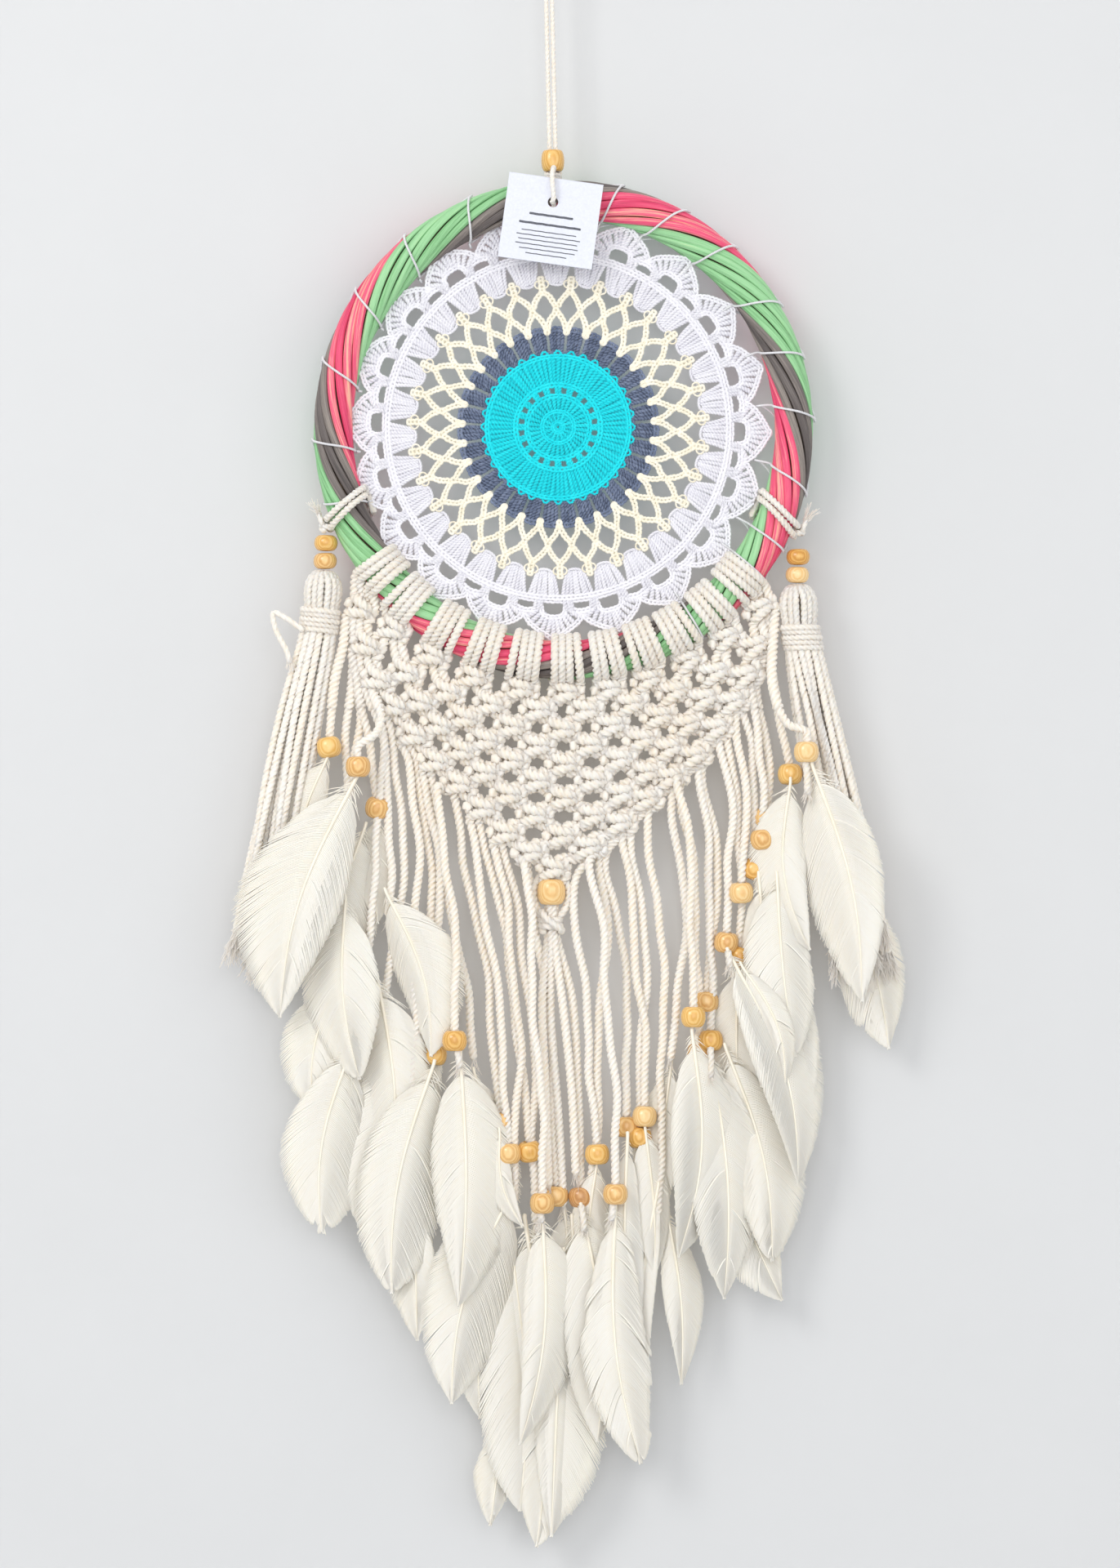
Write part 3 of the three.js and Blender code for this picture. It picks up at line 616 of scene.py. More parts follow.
    # white fans
    c = Part()
    for i in range(31):
        h = off + gaps * (i + 0.5)
        for k in range(8):
            f = (k - 3.5) / 3.5
            post(c, 176 + 2.5 * abs(f), 208, h + f * 3.3, h + f * 5.0, 0.6, 0.86, bow=0.7, pitch=2.8)
        c.tube(line([pol(180, h - 3.9, 0.2), pol(175.5, h - 1.6, -0.3), pol(174.5, h + 1.4, -0.3), pol(179, h + 3.9, 0.2)], 0.5), 0.7, plies=2, pitch=2.6, sides=8)
    ob = c.make("doily_white_fans", WHITE, "hoop")

    # white chain ring with its holes
    c = Part()
    chain(c, ring_pts(209, n=260, y=-0.25), pitch=2.0, width=0.85, r=0.52, step=0.52)
    chain(c, ring_pts(212.5, n=260, y=0.1), pitch=2.1, width=0.75, r=0.5, step=0.52)
    for i in range(20):
        v = 18 * i + 1.5  # scallop centre
        for side in (-1, 1):
            for w in (0, 1, 2):
                a = v + side * (3.6 + w * 0.95)
                post(c, 211, 227 if w else 225, a, v + side * (3.9 + w * 1.1), 0.82, 0.92, y=-0.1, step=0.6)
        # arch over the hole under each scallop, and the low one between scallops
        chain(c, [pol(219, v - 4.0, -0.2), pol(230, v - 3.0, -0.3), pol(232.5, v, -0.3), pol(230, v + 3.0, -0.3), pol(219, v + 4.0, -0.2)], pitch=1.9, width=0.7, r=0.48, step=0.5)
        chain(c, [pol(224, v + 5.0, -0.2), pol(227, v + 9, -0.2), pol(224, v + 13.0, -0.2)], pitch=1.9, width=0.85, r=0.52, step=0.5)
        chain(c, [pol(228, v + 5.4, 0.3), pol(229.5, v + 9, 0.3), pol(228, v + 12.6, 0.3)], pitch=1.9, width=0.8, r=0.5, step=0.5)
    ob = c.make("doily_white_ring", WHITE, "hoop")

    # white scallops
    c = Part()
    for i in range(20):
        v = 18 * i + 1.5
        root_a = np.linspace(-1, 1, 11)
        tip = []
        for f in root_a:
            r0 = 222 + 9.5 * math.cos(f * 1.45)
            r1 = 236 + 23.0 * (1 - abs(f)) ** 0.8
            a0 = v + f * 4.3
            a1 = v + f * 8.1
            tip.append((r1, a1))
            post(c, r0, r1 - 1, a0, a1, 0.84, 0.98, bow=0.5, pitch=2.8)
        edge = [pol(r, a, -0.2) for r, a in tip]
        edge = [pol(229, v - 9.0, 0)] + edge + [pol(229, v + 9.0, 0)]
        chain(c, edge, pitch=1.85, width=0.78, r=0.46)
        for k in range(1, 10, 2):  # little tip picots
            r1, a1 = tip[k]
            c.tube(line([pol(r1 - 1, a1 - 1.0, 0), pol(r1 + 2.4, a1 - 0.3, -0.2), pol(r1 + 2.0, a1 + 0.6, 0), pol(r1 - 1, a1 + 1.0, 0.2)], 0.4), 0.42, sides=6)
    ob = c.make("doily_white_scallops", WHITE, "hoop")
    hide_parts("doily_white_edge")


doily()


# ---------------------------------------------------------------- thread that laces the doily into the hoop
def angle_of(x, z):
    return math.atan2(x - HX, z - HZ)


def lacing():
    cross = [
        ((-101.88, -240.84), (-79.56, -239.4)), ((-103.32, -211.68), (-86.4, -217.44)), ((-99.36, -175.32), (-86.4, -189.72)), ((-84.96, -144.72), (-76.32, -161.28)),
        ((-62.64, -121.68), (-59.4, -138.24)), ((-34.2, -102.96), (-36.72, -121.32)), ((-1.08, -97.92), (-9, -114.48)), ((33.48, -100.08), (24.12, -107.28)),
        ((62.64, -111.24), (41.76, -119.88)), ((83.16, -127.8), (64.08, -132.84)), ((102.96, -153.36), (81.72, -151.92)), ((113.04, -176.04), (94.32, -172.44)),
        ((117, -203.76), (100.08, -196.2)), ((113.04, -236.52), (100.08, -222.48)), ((102.96, -261), (91.08, -250.2)), ((94.68, -273.6), (83.88, -262.8)), ((65.88, -296.28), (59.04, -283.68)),
    ]
    pts = []
    rho = 9.35
    a_prev = None
    for i, (o, q) in enumerate(cross):
        ao, ai = angle_of(*o), angle_of(*q)
        if a_prev is not None:
            while ao < a_prev - 1:
                ao += 2 * math.pi
        while ai < ao - 2:
            ai += 2 * math.pi
        while ai > ao + 2:
            ai -= 2 * math.pi
        if a_prev is not None:
            for t in (0.12, 0.3, 0.5, 0.7, 0.88):
                pts.append(on_hoop(a_prev + (ao - a_prev) * t, math.pi * (1 + t), rho))
        for t in (0, 0.15, 0.32, 0.5, 0.68, 0.85, 0.97):
            pts.append(on_hoop(ao + (ai - ao) * t, math.pi * t, rho + (0.15 if t in (0.5,) else 0)))
        # through the doily's edge and back behind the band
        px, pz = q
        d = np.array((px - DX, pz - DZ))
        m = np.linalg.norm(d)
        e = np.array((DX, DZ)) + d / m * min(m - 1, 90.0)
        f = np.array((DX, DZ)) + d / m * min(m - 2.5, 88.0)
        pts.append(np.array((e[0], -1.4, e[1])))
        pts.append(np.array((f[0], 0.2, f[1])))
        pts.append(np.array((e[0], 1.9, e[1])))
        a_prev = ai
    c = Part()
    c.tube(line(pts, 0.8), 0.62, plies=3, pitch=2.6, sides=9)
    ob = c.make("doily_lacing_thread", THREAD, "hoop")
    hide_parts("doily_lacing")


lacing()


# ---------------------------------------------------------------- hanging cord, hitch, sling, top bead
def strand_x(z):
    return 2.16 * z / -94


def hanging():
    def side(sign, z0, z1, n):
        return [(strand_x(z) + sign * 1.32, 0.0, z) for z in np.linspace(z0, z1, n)]

    loop = [(-2.6, 0, -1.5), (-1.6, 0, 1.4), (0, 0, 2.45), (1.6, 0, 1.4), (2.6, 0, -1.5)]
    pts = line(side(-1, -93.5, -8, 16) + loop + side(1, -8, -93.5, 16), 0.8)
    c = Part()
    c.tube(pts, 1.12, plies=3, pitch=6.2, sides=12, lobe=0.34)
    ob = c.make("hanging_cord_strands", COTTON, "hoop")
    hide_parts("hanging_cord")
    # hitch: the strands tied round themselves above the band
    c = Part()
    a = np.linspace(0, 2 * np.pi * 2.0, 60)
    c.tube(np.stack([2.16 + 2.9 * np.cos(a), 2.9 * np.sin(a), np.linspace(-94.3, -97.0, 60)], 1), 1.15, plies=3, pitch=6.2, sides=12)
    c.tube(line([(0.8, 0, -93), (1.2, -0.6, -94.6), (2.9, -1.9, -96.8), (3.6, -0.4, -97.2), (2.4, 0.6, -96)], 0.7), 1.12, plies=3, pitch=6.2, sides=12)
    ob = c.make("hanging_hitch_coils", COTTON, "hoop")
    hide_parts("hanging_hitch")
    # sling under the band, which carries the tag
    hole, top = -108.72, HZ + HR
    yz = [(-5, -94.6), (-10, -93.2), (-14.4, -94.6), (-16.5, -99), (-16.6, hole + 4), (-16.2, hole + 1.6), (-14.8, hole + 0.3), (-13.45, hole), (-12.1, hole - 0.5), (-10.9, hole - 2.6), (-8.8, top - 9.4), (0, top - 12.2), (8.2, top - 7.8), (11, top), (9.4, top + 6.6), (5, -95.0)]
    c = Part()
    c.tube(line([(2.16 + 0.35 * math.sin(i * 1.7), y, z) for i, (y, z) in enumerate(yz)], 0.7), 1.2, plies=3, pitch=6.2, sides=12)
    ob = c.make("hoop_sling_cord", COTTON, "hoop")
    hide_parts("hoop_sling")


hanging()


def bead_rings(radius, height, bore, turns=28, centre=(0, 0, 0), axis=(0, 0, 1), seed=0.0):
    """Oblate bead with a rounded lip round its bore. Returns rings for a closed grid, and wood coordinates."""
    half = height / 2
    lip = bore + 0.45
    out = []
    for i in range(13):
        t = -1 + i / 6
        b = t * math.pi / 2
        out.append((lip + (radius - lip) * math.cos(b) ** 0.82, half * math.sin(b)))
    out += [(bore + 0.12, half * 0.985), (bore, half - 0.55), (bore, 0.0), (bore, -half + 0.55), (bore + 0.12, -half * 0.985)]
    prof = np.array(out)
    th = 2 * np.pi * np.arange(turns) / turns
    ax = np.asarray(axis, float)
    ax /= np.linalg.norm(ax)
    ux = np.cross((0, -1.0, 0), ax)
    if np.linalg.norm(ux) < 0.1:
        ux = np.array((1.0, 0, 0))
    ux /= np.linalg.norm(ux)
    uy = np.cross(ax, ux)
    # grid runs round the axis, its rings are the profile
    r, z = prof[:, 0], prof[:, 1]
    d = np.cos(th)[:, None] * ux[None] + np.sin(th)[:, None] * uy[None]
    rings = np.asarray(centre)[None, None] + d[:, None, :] * r[None, :, None] + ax[None, None, :] * z[None, :, None]
    fib = np.stack([np.cos(th)[:, None] * r[None], np.sin(th)[:, None] * r[None], np.broadcast_to(z[None], (turns, len(z)))], -1) + seed
    return rings[:, ::-1], fib[:, ::-1]


def bead(name, mat, body, centre, radius, height, bore, axis=(0, 0, 1), node=None):
    c = Part()
    rings, fib = bead_rings(radius, height, bore, centre=centre, axis=axis, seed=rng.uniform(3, 40))
    c.grid(rings, fib, closed=True, tint=rng.random())
    ob = c.make(name, mat, body)
    if node:
        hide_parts(node)
    return ob


bead("top_bead_wood", HONEY, "top_bead", (strand_x(-88.95), 0, -88.95), 5.1, 9.4, 2.9, axis=(-0.02297, 0, 0.99974), node="top_bead")


# ---------------------------------------------------------------- tag
def tag():
    cx, cz = (1.08, -117)
    y0 = -13.45
    w, h = 41.5, 37.0
    rot = 8 * RAD
    ca, sa = math.cos(rot), math.sin(rot)

    def place(u, v, y):
        # u right, v up in the card; turned so that its right side sits lower
        return (cx + u * ca + v * sa, y, cz - u * sa + v * ca)

    hx, hz = (2.16, -108.72)
    du, dv = hx - cx, hz - cz
    hu, hv = du * ca - dv * sa, du * sa + dv * ca
    rh = 2.3

    def leaf(c, y_front, thick, spread):
        nx, nz = 22, 20
        us = np.linspace(-w / 2, w / 2, nx)
        vs = np.linspace(-h / 2, h / 2, nz)

        def curve(u, v):
            t = (v + h / 2) / h
            return spread * (1 - t) ** 1.4 + 0.12 * math.sin(u * 0.11 + 0.7) * (1 - t)

        # outline as a ring of points, and the hole as another, joined with quads
        m = 64
        outer, inner = [], []
        for k in range(m):
            a = 2 * math.pi * k / m
            dx, dv_ = math.cos(a), math.sin(a)
            ts = []
            if dx > 1e-9: ts.append((w / 2 - hu) / dx)
            if dx < -1e-9: ts.append((-w / 2 - hu) / dx)
            if dv_ > 1e-9: ts.append((h / 2 - hv) / dv_)
            if dv_ < -1e-9: ts.append((-h / 2 - hv) / dv_)
            t = min(x for x in ts if x > 0)
            outer.append((hu + dx * t, hv + dv_ * t))
            inner.append((hu + dx * rh, hv + dv_ * rh))
        # the corners belong to the outline
        for cu in (-w / 2, w / 2):
            for cv in (-h / 2, h / 2):
                k = min(range(m), key=lambda i: (outer[i][0] - cu) ** 2 + (outer[i][1] - cv) ** 2)
                outer[k] = (cu, cv)
        rows = []
        steps = 14
        for j in range(steps + 1):
            f = j / steps
            rows.append([((1 - f) * inner[k][0] + f * outer[k][0], (1 - f) * inner[k][1] + f * outer[k][1]) for k in range(m)])
        front = [[place(u, v, y_front + curve(u, v)) for u, v in row] for row in rows]
        back = [[place(u, v, y_front + thick + curve(u, v)) for u, v in row] for row in rows]
        prof = front + back[::-1]  # round a closed section, from the hole out and back
        g = np.array(prof).transpose(1, 0, 2)
        c.grid(g[:, ::-1], None, closed=True)

    c = Part()
    leaf(c, y0 - 0.62, 0.38, -0.15)
    leaf(c, y0 + 0.2, 0.38, 0.25)
    # fold along the top edge
    n = 9
    sec = []
    for u in np.linspace(-w / 2, w / 2, 24):
        ring = []
        for k in range(n):
            a = math.pi * k / (n - 1)
            ring.append((u, h / 2 - 0.1 + 0.55 * math.sin(a), y0 - 0.01 - 0.61 * math.cos(a)))
        for k in range(n):
            a = math.pi * (n - 1 - k) / (n - 1)
            ring.append((u, h / 2 - 0.1 + 0.2 * math.sin(a), y0 - 0.01 - 0.23 * math.cos(a)))
        sec.append([place(*q) for q in ring])
    c.grid(np.array(sec), None, closed=False)
    ob = c.make("tag_card", CARD, "tag", smooth=False)
    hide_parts("label_tag")
    # plain ruled lines, printed as thin raised strokes
    c = Part()

    def rule(u0, u1, v, wd):
        n = max(2, int((u1 - u0) / 1.2))
        rows = []
        for u in np.linspace(u0, u1, n):
            t = (v + h / 2) / h
            y = y0 - 0.62 + -0.15 * (1 - t) ** 1.4 + 0.12 * math.sin(u * 0.11 + 0.7) * (1 - t)
            vv = v + 0.06 * math.sin(u * 1.3)
            rows.append([place(u, vv - wd / 2, y + 0.02), place(u, vv + wd / 2, y + 0.02), place(u, vv + wd / 2, y - 0.05), place(u, vv - wd / 2, y - 0.05)])
        c.grid(np.array(rows)[:, ::-1], None, closed=False)

    rule(-9.5, 9.5, 2.2, 1.0)
    rule(-13.5, 13.5, -1.9, 1.0)
    for k, (a, b) in enumerate([(-12, 12), (-14, 14), (-13, 13), (-14, 13.5), (-12, 12.5), (-9, 9)]):
        rule(a, b, -5.2 - 2.0 * k, 0.42)
    ob = c.make("tag_ruled_lines", INK, "tag", smooth=False)


tag()


# ---------------------------------------------------------------- macrame: 44 strands, wraps, 66 square knots, fringe
PITCH = 7.6
ROW_X1 = [-82.44, -67.32, -51.48, -32.4, -12.24, 7.56, 26.64, 44.28, 61.56, 78.12, 93.24]
ROW_Z1 = [-286.56, -295.56, -307.08, -316.44, -321.48, -323.64, -321.84, -317.52, -309.6, -299.16, -286.56]
LEFT = [(-82.44, -286.56), (-79.56, -302.4), (-74.52, -317.52), (-67.68, -329.76), (-58.68, -342), (-49.32, -353.52), (-39.24, -363.6), (-28.8, -374.4), (-18.36, -385.2), (-7.92, -394.2), (2.16, -401.04)]
RIGHT = [(93.24, -286.56), (91.08, -302.4), (86.76, -315.36), (81, -327.6), (73.8, -339.12), (64.44, -351), (53.64, -360.72), (42.84, -370.08), (30.96, -380.88), (17.64, -390.96), (2.16, -401.04)]
CENTRE_Z = [-323.64, -331.92, -339.48, -347.04, -354.6, -362.16, -370.08, -378.36, -386.28, -393.84, -401.04]
KNOT_A = np.array([(-1.5, 1.3, -0.25), (-1.0, 0.95, -0.95), (-0.1, 0.62, -1.35), (0.8, 0.42, -1.1), (1.45, 0.2, -0.2), (1.55, 0, 0.3), (1.45, -0.2, -0.2), (0.8, -0.42, -1.1), (-0.1, -0.62, -1.35), (-1.0, -0.95, -0.95), (-1.5, -1.3, -0.25)])
KNOT_B = np.array([(1.75, 1.0, -0.6), (1.9, 0.4, -0.7), (1.6, 0, 0.2), (0.8, 0.3, 1.0), (0, 0.45, 1.15), (-0.8, 0.4, 1.0), (-1.5, 0.35, 0.3), (-1.95, 0.15, -0.5), (-2.0, -0.1, -0.6), (-1.6, -0.4, 0.2), (-0.8, -0.45, 1.0), (0, -0.5, 1.15), (0.8, -0.45, 1.0), (1.5, -0.5, 0.3), (1.95, -0.75, -0.5), (1.6, -1.2, -0.3)])
KNOT_F = np.array([(0, 1.3, 0), (0, 0.45, 0.05), (0, -0.45, 0.05), (0, -1.3, 0)])


def knot_place(r, j):
    """Centre, turn and width of knot j in row r (from 1)."""
    n = 12 - r
    if r == 1:
        x = np.array(ROW_X1)
        z = np.array(ROW_Z1)
    else:
        xl, zl = LEFT[r - 1]
        xr, zr = RIGHT[r - 1]
        s = np.linspace(-1, 1, n) if n > 1 else np.zeros(1)
        x = (xl + xr) / 2 + (xr - xl) / 2 * s
        # the strands crowd a little at the sides
        x = x + (xr - xl) / 2 * 0.03 * np.sin(np.pi * s)
        edge = (zl * (1 - s) + zr * (1 + s)) / 2
        z = CENTRE_Z[r - 1] + (edge - CENTRE_Z[r - 1]) * s * s if n > 1 else np.array([CENTRE_Z[r - 1]])
    dx = np.gradient(x) if n > 1 else np.ones(1) * 18
    dz = np.gradient(z) if n > 1 else np.zeros(1)
    return x[j], z[j], math.atan2(dz[j], dx[j]), float(np.hypot(dx[j], dz[j]))


GROUPS = [-52.3, -42.4, -30.7, -19.9, -9.4, 0.6, 10.8, 20.3, 29.3, 39.7, 49.7]
NET_Y = -0.6


def knot_points(r, j, p):
    x, z, turn, gap = knot_place(r, j)
    w = min(max(gap / (54 * PXMM), 0.78), 1.04)
    hgt = 0.9
    pts = {0: KNOT_A, 1: KNOT_F, 2: KNOT_F, 3: KNOT_B}[p].copy()
    jit = np.random.default_rng(r * 100 + j)
    pts[:, 0] = pts[:, 0] * w + {1: -0.5, 2: 0.5}.get(p, 0.0)
    pts[:, 1] = pts[:, 1] * hgt
    if (r + j) % 2:
        pass
    a = turn * 0.7 + jit.normal(0, 0.04)
    ca, sa = math.cos(a), math.sin(a)
    u = pts[:, 0] * D
    v = pts[:, 1] * D
    return np.stack([x + u * ca - v * sa + jit.normal(0, 0.25), NET_Y + pts[:, 2] * D * 0.92, z + u * sa + v * ca + jit.normal(0, 0.25)], 1)


def wrap_points(s):
    g, p = divmod(s, 4)
    phi = (GROUPS[g] + (p - 1.5) * 1.96) * RAD
    x1, z1, _, _ = knot_place(1, g)
    out = []
    for t in np.linspace(0, 1, 19):
        psi = (335 - 312 * t) * RAD
        rho = 10.15 + 0.25 * math.sin(7 * t + s) * 0.4
        if t < 0.12:
            rho -= 1.2 * (1 - t / 0.12)
        out.append(on_hoop(math.pi - phi + 0.012 * (t - 0.5) * math.sin(s * 2.1), psi, rho))
    return np.array(out)


# where each strand ends, and what hangs on it: (points below the net, bead centre or None)
ENDS = {
    0: ([(-90.36, -302.4), (-94.32, -324), (-96.48, -342)], (-96.48, -347.4)),
    1: ([(-86.04, -306), (-87.84, -342), (-88.92, -378), (-88.56, -415.8)], None),
    2: ([(-82.8, -324), (-78.84, -349.2), (-75.24, -368.64)], (-75.24, -374.04)),
    3: ([(-83.16, -324), (-87.48, -363.6), (-92.52, -414), (-93.96, -462.6)], None),
    4: ([(-75.6, -334.8), (-70.2, -370.8), (-68.76, -399.6), (-70.56, -423)], None),
    6: ([(-72.36, -343.8), (-73.8, -378), (-79.56, -428.4), (-84.6, -488.88)], None),
    7: ([(-68.4, -343.8), (-64.8, -378), (-65.88, -417.6), (-72.36, -459)], None),
    8: ([(-61.56, -352.8), (-57.96, -392.4), (-59.04, -450), (-59.76, -500.4)], None),
    9: ([(-58.32, -352.8), (-52.92, -399.6), (-50.4, -442.8), (-50.04, -478.08)], (-50.04, -483.12)),
    10: ([(-54, -365.4), (-48.24, -406.8), (-49.32, -439.2), (-52.56, -468)], None),
    11: ([(-50.76, -365.4), (-43.92, -410.4), (-37.08, -450), (-32.76, -486)], None),
    13: ([(-39.96, -376.2), (-33.48, -414), (-25.56, -464.4), (-21.24, -507.6)], (-21.24, -513)),
    14: ([(-32.76, -387), (-27.72, -417.6), (-21.24, -471.6), (-17.28, -520.92)], (-17.28, -526.32)),
    15: ([(-29.16, -387), (-21.6, -421.2), (-12.96, -471.6), (-8.28, -520.2)], (-8.28, -525.6)),
    16: ([(-22.68, -396), (-17.28, -424.8), (-13.32, -471.6), (-15.12, -549)], None),
    17: ([(-19.08, -396), (-12.24, -424.8), (-6.84, -486), (-5.76, -558)], None),
    19: ([(-8.28, -406.08), (-3.96, -432), (1.08, -486), (3.6, -540)], (3.6, -545.4)),
    24: ([(12.6, -403.92), (13.68, -435.6), (18.36, -482.4), (21.6, -521.28)], (21.6, -526.68)),
    26: ([(23.04, -394.2), (25.2, -424.8), (22.32, -486), (17.64, -558)], None),
    27: ([(26.28, -393.12), (30.96, -424.8), (34.56, -471.6), (34.56, -509.4)], (34.56, -514.8)),
    28: ([(33.48, -382.32), (36.72, -417.6), (41.4, -464.4), (42.48, -504.72)], (42.48, -510.12)),
    29: ([(37.08, -381.6), (42.12, -417.6), (41.4, -471.6), (40.32, -514.08)], (40.32, -519.48)),
    30: ([(45, -372.6), (48.24, -414), (50.76, -486), (48.6, -554.4)], None),
    32: ([(55.8, -363.6), (59.4, -406.8), (58.32, -450), (53.64, -486)], None),
    33: ([(59.04, -361.8), (63.72, -403.2), (66.6, -442.8), (66.6, -477.36)], (66.6, -482.4)),
    34: ([(66.6, -352.8), (70.92, -396), (72.36, -439.2), (71.64, -471.6)], (71.64, -476.64)),
    35: ([(69.48, -351), (73.8, -392.4), (72.36, -428.4), (69.84, -454.68)], (69.84, -459.72)),
    36: ([(75.6, -340.2), (79.92, -370.8), (79.92, -403.2), (78.48, -428.4)], (78.48, -433.44)),
    37: ([(78.48, -338.4), (83.88, -370.8), (85.32, -406.8), (84.24, -434.88)], (84.24, -439.92)),
    38: ([(83.16, -329.4), (86.4, -356.4), (86.4, -381.6), (84.96, -406.44)], (84.96, -411.48)),
    39: ([(85.32, -327.6), (89.64, -349.2), (91.44, -374.4), (90.72, -396.36)], (90.72, -401.4)),
    40: ([(89.28, -318.6), (93.24, -342), (95.04, -363.6), (94.32, -383.04)], (94.32, -388.08)),
    41: ([(91.8, -318.6), (96.12, -342), (97.56, -360), (96.48, -373.68)], (96.48, -378.72)),
    42: ([(96.12, -302.4), (100.44, -327.6), (105.84, -354.24)], (106.56, -359.28)),
    20: ([(-1.08, -408.6), (-1.08, -415.8), (0, -420.48), (0, -430.2), (-2.52, -457.2), (-1.08, -500.4), (0.36, -541.8)], None),
    21: ([(1.08, -408.6), (0.72, -415.8), (1.08, -420.48), (1.44, -430.2), (1.08, -464.4), (4.68, -511.2), (6.84, -550.8)], None),
    22: ([(3.24, -408.6), (2.52, -415.8), (2.16, -420.48), (2.52, -430.2), (6.84, -464.4), (10.44, -500.4), (12.24, -536.4)], None),
    23: ([(5.4, -408.6), (4.32, -415.8), (3.24, -420.48), (3.6, -430.2), (10.44, -457.2), (13.32, -500.4), (14.4, -540.72)], (14.4, -545.76)),
}
DROPS = {
    "far_left": (5, [(-73.08, -334.8), (-75.96, -342)], (-83.16, -356.04), (-117.36, -464.4), -15.0),
    "left": (12, [(-48.6, -364.32), (-44.28, -396), (-41.4, -435.6)], (-41.04, -476.28), (-38.52, -591.48), -9.5),
    "mid_left": (18, [(-11.16, -396.72), (-7.56, -435.6), (-3.96, -493.2)], (-2.52, -547.56), (-13.68, -652.32), -9.5),
    "mid_right": (25, [(18.36, -396), (24.12, -432), (28.44, -493.2)], (29.52, -543.6), (42.12, -660.96), -9.5),
    "right": (31, [(56.52, -360.72), (61.56, -388.8), (63.72, -428.4)], (63.72, -465.84), (57.24, -570.24), -9.5),
    "far_right": (43, [(100.08, -328.32), (105.12, -337.68)], (113.04, -349.56), (137.52, -455.76), -15.0),
}
DROP_OF = {v[0]: k for k, v in DROPS.items()}
SPLIT_Z = -329.76  # below this line a strand hangs wholly with the skirt


def fringe_y(s):
    """Depth of a hanging strand: neighbours lie in front of and behind each other."""
    return NET_Y + [-1.9, 1.5, -0.2, 1.9, -1.4, 0.8, -2.2, 1.2][s % 8]


FREE = CORD * 1.1  # a strand that hangs free opens up a little


def strand_route(s):
    """Whole centre line of one strand: round the band, through its knots, then down."""
    pts = [wrap_points(s)]
    r = 1
    while r <= 11 and 2 * (r - 1) <= s <= 43 - 2 * (r - 1):
        j, p = divmod(s - 2 * (r - 1), 4)
        pts.append(knot_points(r, j, p))
        r += 1
    last = pts[-1][-1]
    tail = []
    if s in DROP_OF:
        name = DROP_OF[s]
        _, way, bead_c, tip, y = DROPS[name]
        n = len(way)
        for i, (x, z) in enumerate(way):
            tail.append((x, y if i or n == 2 and i else (NET_Y + y) / 2 if n > 2 else y * 0.8, z))
        d = np.array(bead_c) - np.array(way[-1])
        tail.append((bead_c[0], y, bead_c[1] + 9.0))
        tail.append((bead_c[0], y, bead_c[1] + 2.0))
    else:
        way, bead_c = ENDS[s]
        y = fringe_y(s)
        n = len(way)
        for i, (x, z) in enumerate(way):
            k = min(1.0, (i + 0.6) / 1.6)
            tail.append((x, last[1] * (1 - k) + y * k, z))
        if bead_c:
            tail[-1] = (bead_c[0], y, bead_c[1] + 3.0)
    if 20 <= s <= 23:
        for i in range(4):
            off = (s - 21.5)
            tail[i] = (tail[i][0], NET_Y + (-1.1 if s in (21, 22) else 0.9) * (0.9 if i < 3 else 1.0), tail[i][2])
        tail[1] = (1.44 + off * 0.95, -1 + (0.95 if s in (20, 23) else -0.95), -415.44)
    pts.append(np.array(tail))
    p = np.vstack(pts)
    keep = [0]
    for i in range(1, len(p)):  # crowded control points make kinks
        if np.linalg.norm(p[i] - p[keep[-1]]) > 0.9 or i == len(p) - 1:
            keep.append(i)
    q = line(p[keep], 0.95)
    if 20 <= s <= 23:
        return q
    # a hanging strand is never quite straight: a slow sway that fades out at its knot and at its end
    run = np.r_[0, np.cumsum(np.linalg.norm(np.diff(q, axis=0), axis=1))]
    start = run[int(np.argmin(np.linalg.norm(q - last, axis=1)))]
    ease = lambda v: np.clip(v, 0, 1) ** 2 * (3 - 2 * np.clip(v, 0, 1))
    hold = ease((run - start - 6) / 28) * ease((run[-1] - run - 8) / 28)
    sway = 1.25 * np.sin(2 * np.pi * run / (76 + 9 * (s % 4)) + s * 1.7) + 0.32 * np.sin(2 * np.pi * run / (31 + 4 * (s % 3)) + s)
    q[:, 0] += hold * sway
    return q


def ply_tube(part, p, radius, lo, hi, s_ref=None, taper_end=False, lobe=0.36, sides=12, plies=3, tint=None):
    """The stretch lo..hi of a twisted cord, with the twist counted from the cord's start so that stretches meet."""
    t, n, b = frames_of(p)
    s = np.r_[0, np.cumsum(np.linalg.norm(np.diff(p, axis=0), axis=1))]
    th = 2 * np.pi * np.arange(sides) / sides
    shape = 1 - lobe * (1 - np.abs(np.cos(plies * th / 2)) ** 0.8)
    a = th[None, :] + (2 * np.pi * s / PITCH)[:, None]
    rr = np.full(len(p), radius)
    if taper_end:
        rr = rr * np.clip((s[-1] - s + 1.0) / 3.0, 0.45, 1)
    rr = rr[:, None] * shape[None, :]
    rings = p[:, None, :] + rr[..., None] * (np.cos(a)[..., None] * n[:, None, :] + np.sin(a)[..., None] * b[:, None, :])
    fib = np.stack([np.broadcast_to(s[:, None], a.shape), rr * np.cos(th)[None, :], rr * np.sin(th)[None, :]], -1) + np.array([part.n * 0.37 % 97, 0, 0])
    part.grid(rings[lo:hi], fib[lo:hi], tint=rng.random() if tint is None else tint, rise=shape[None, :])


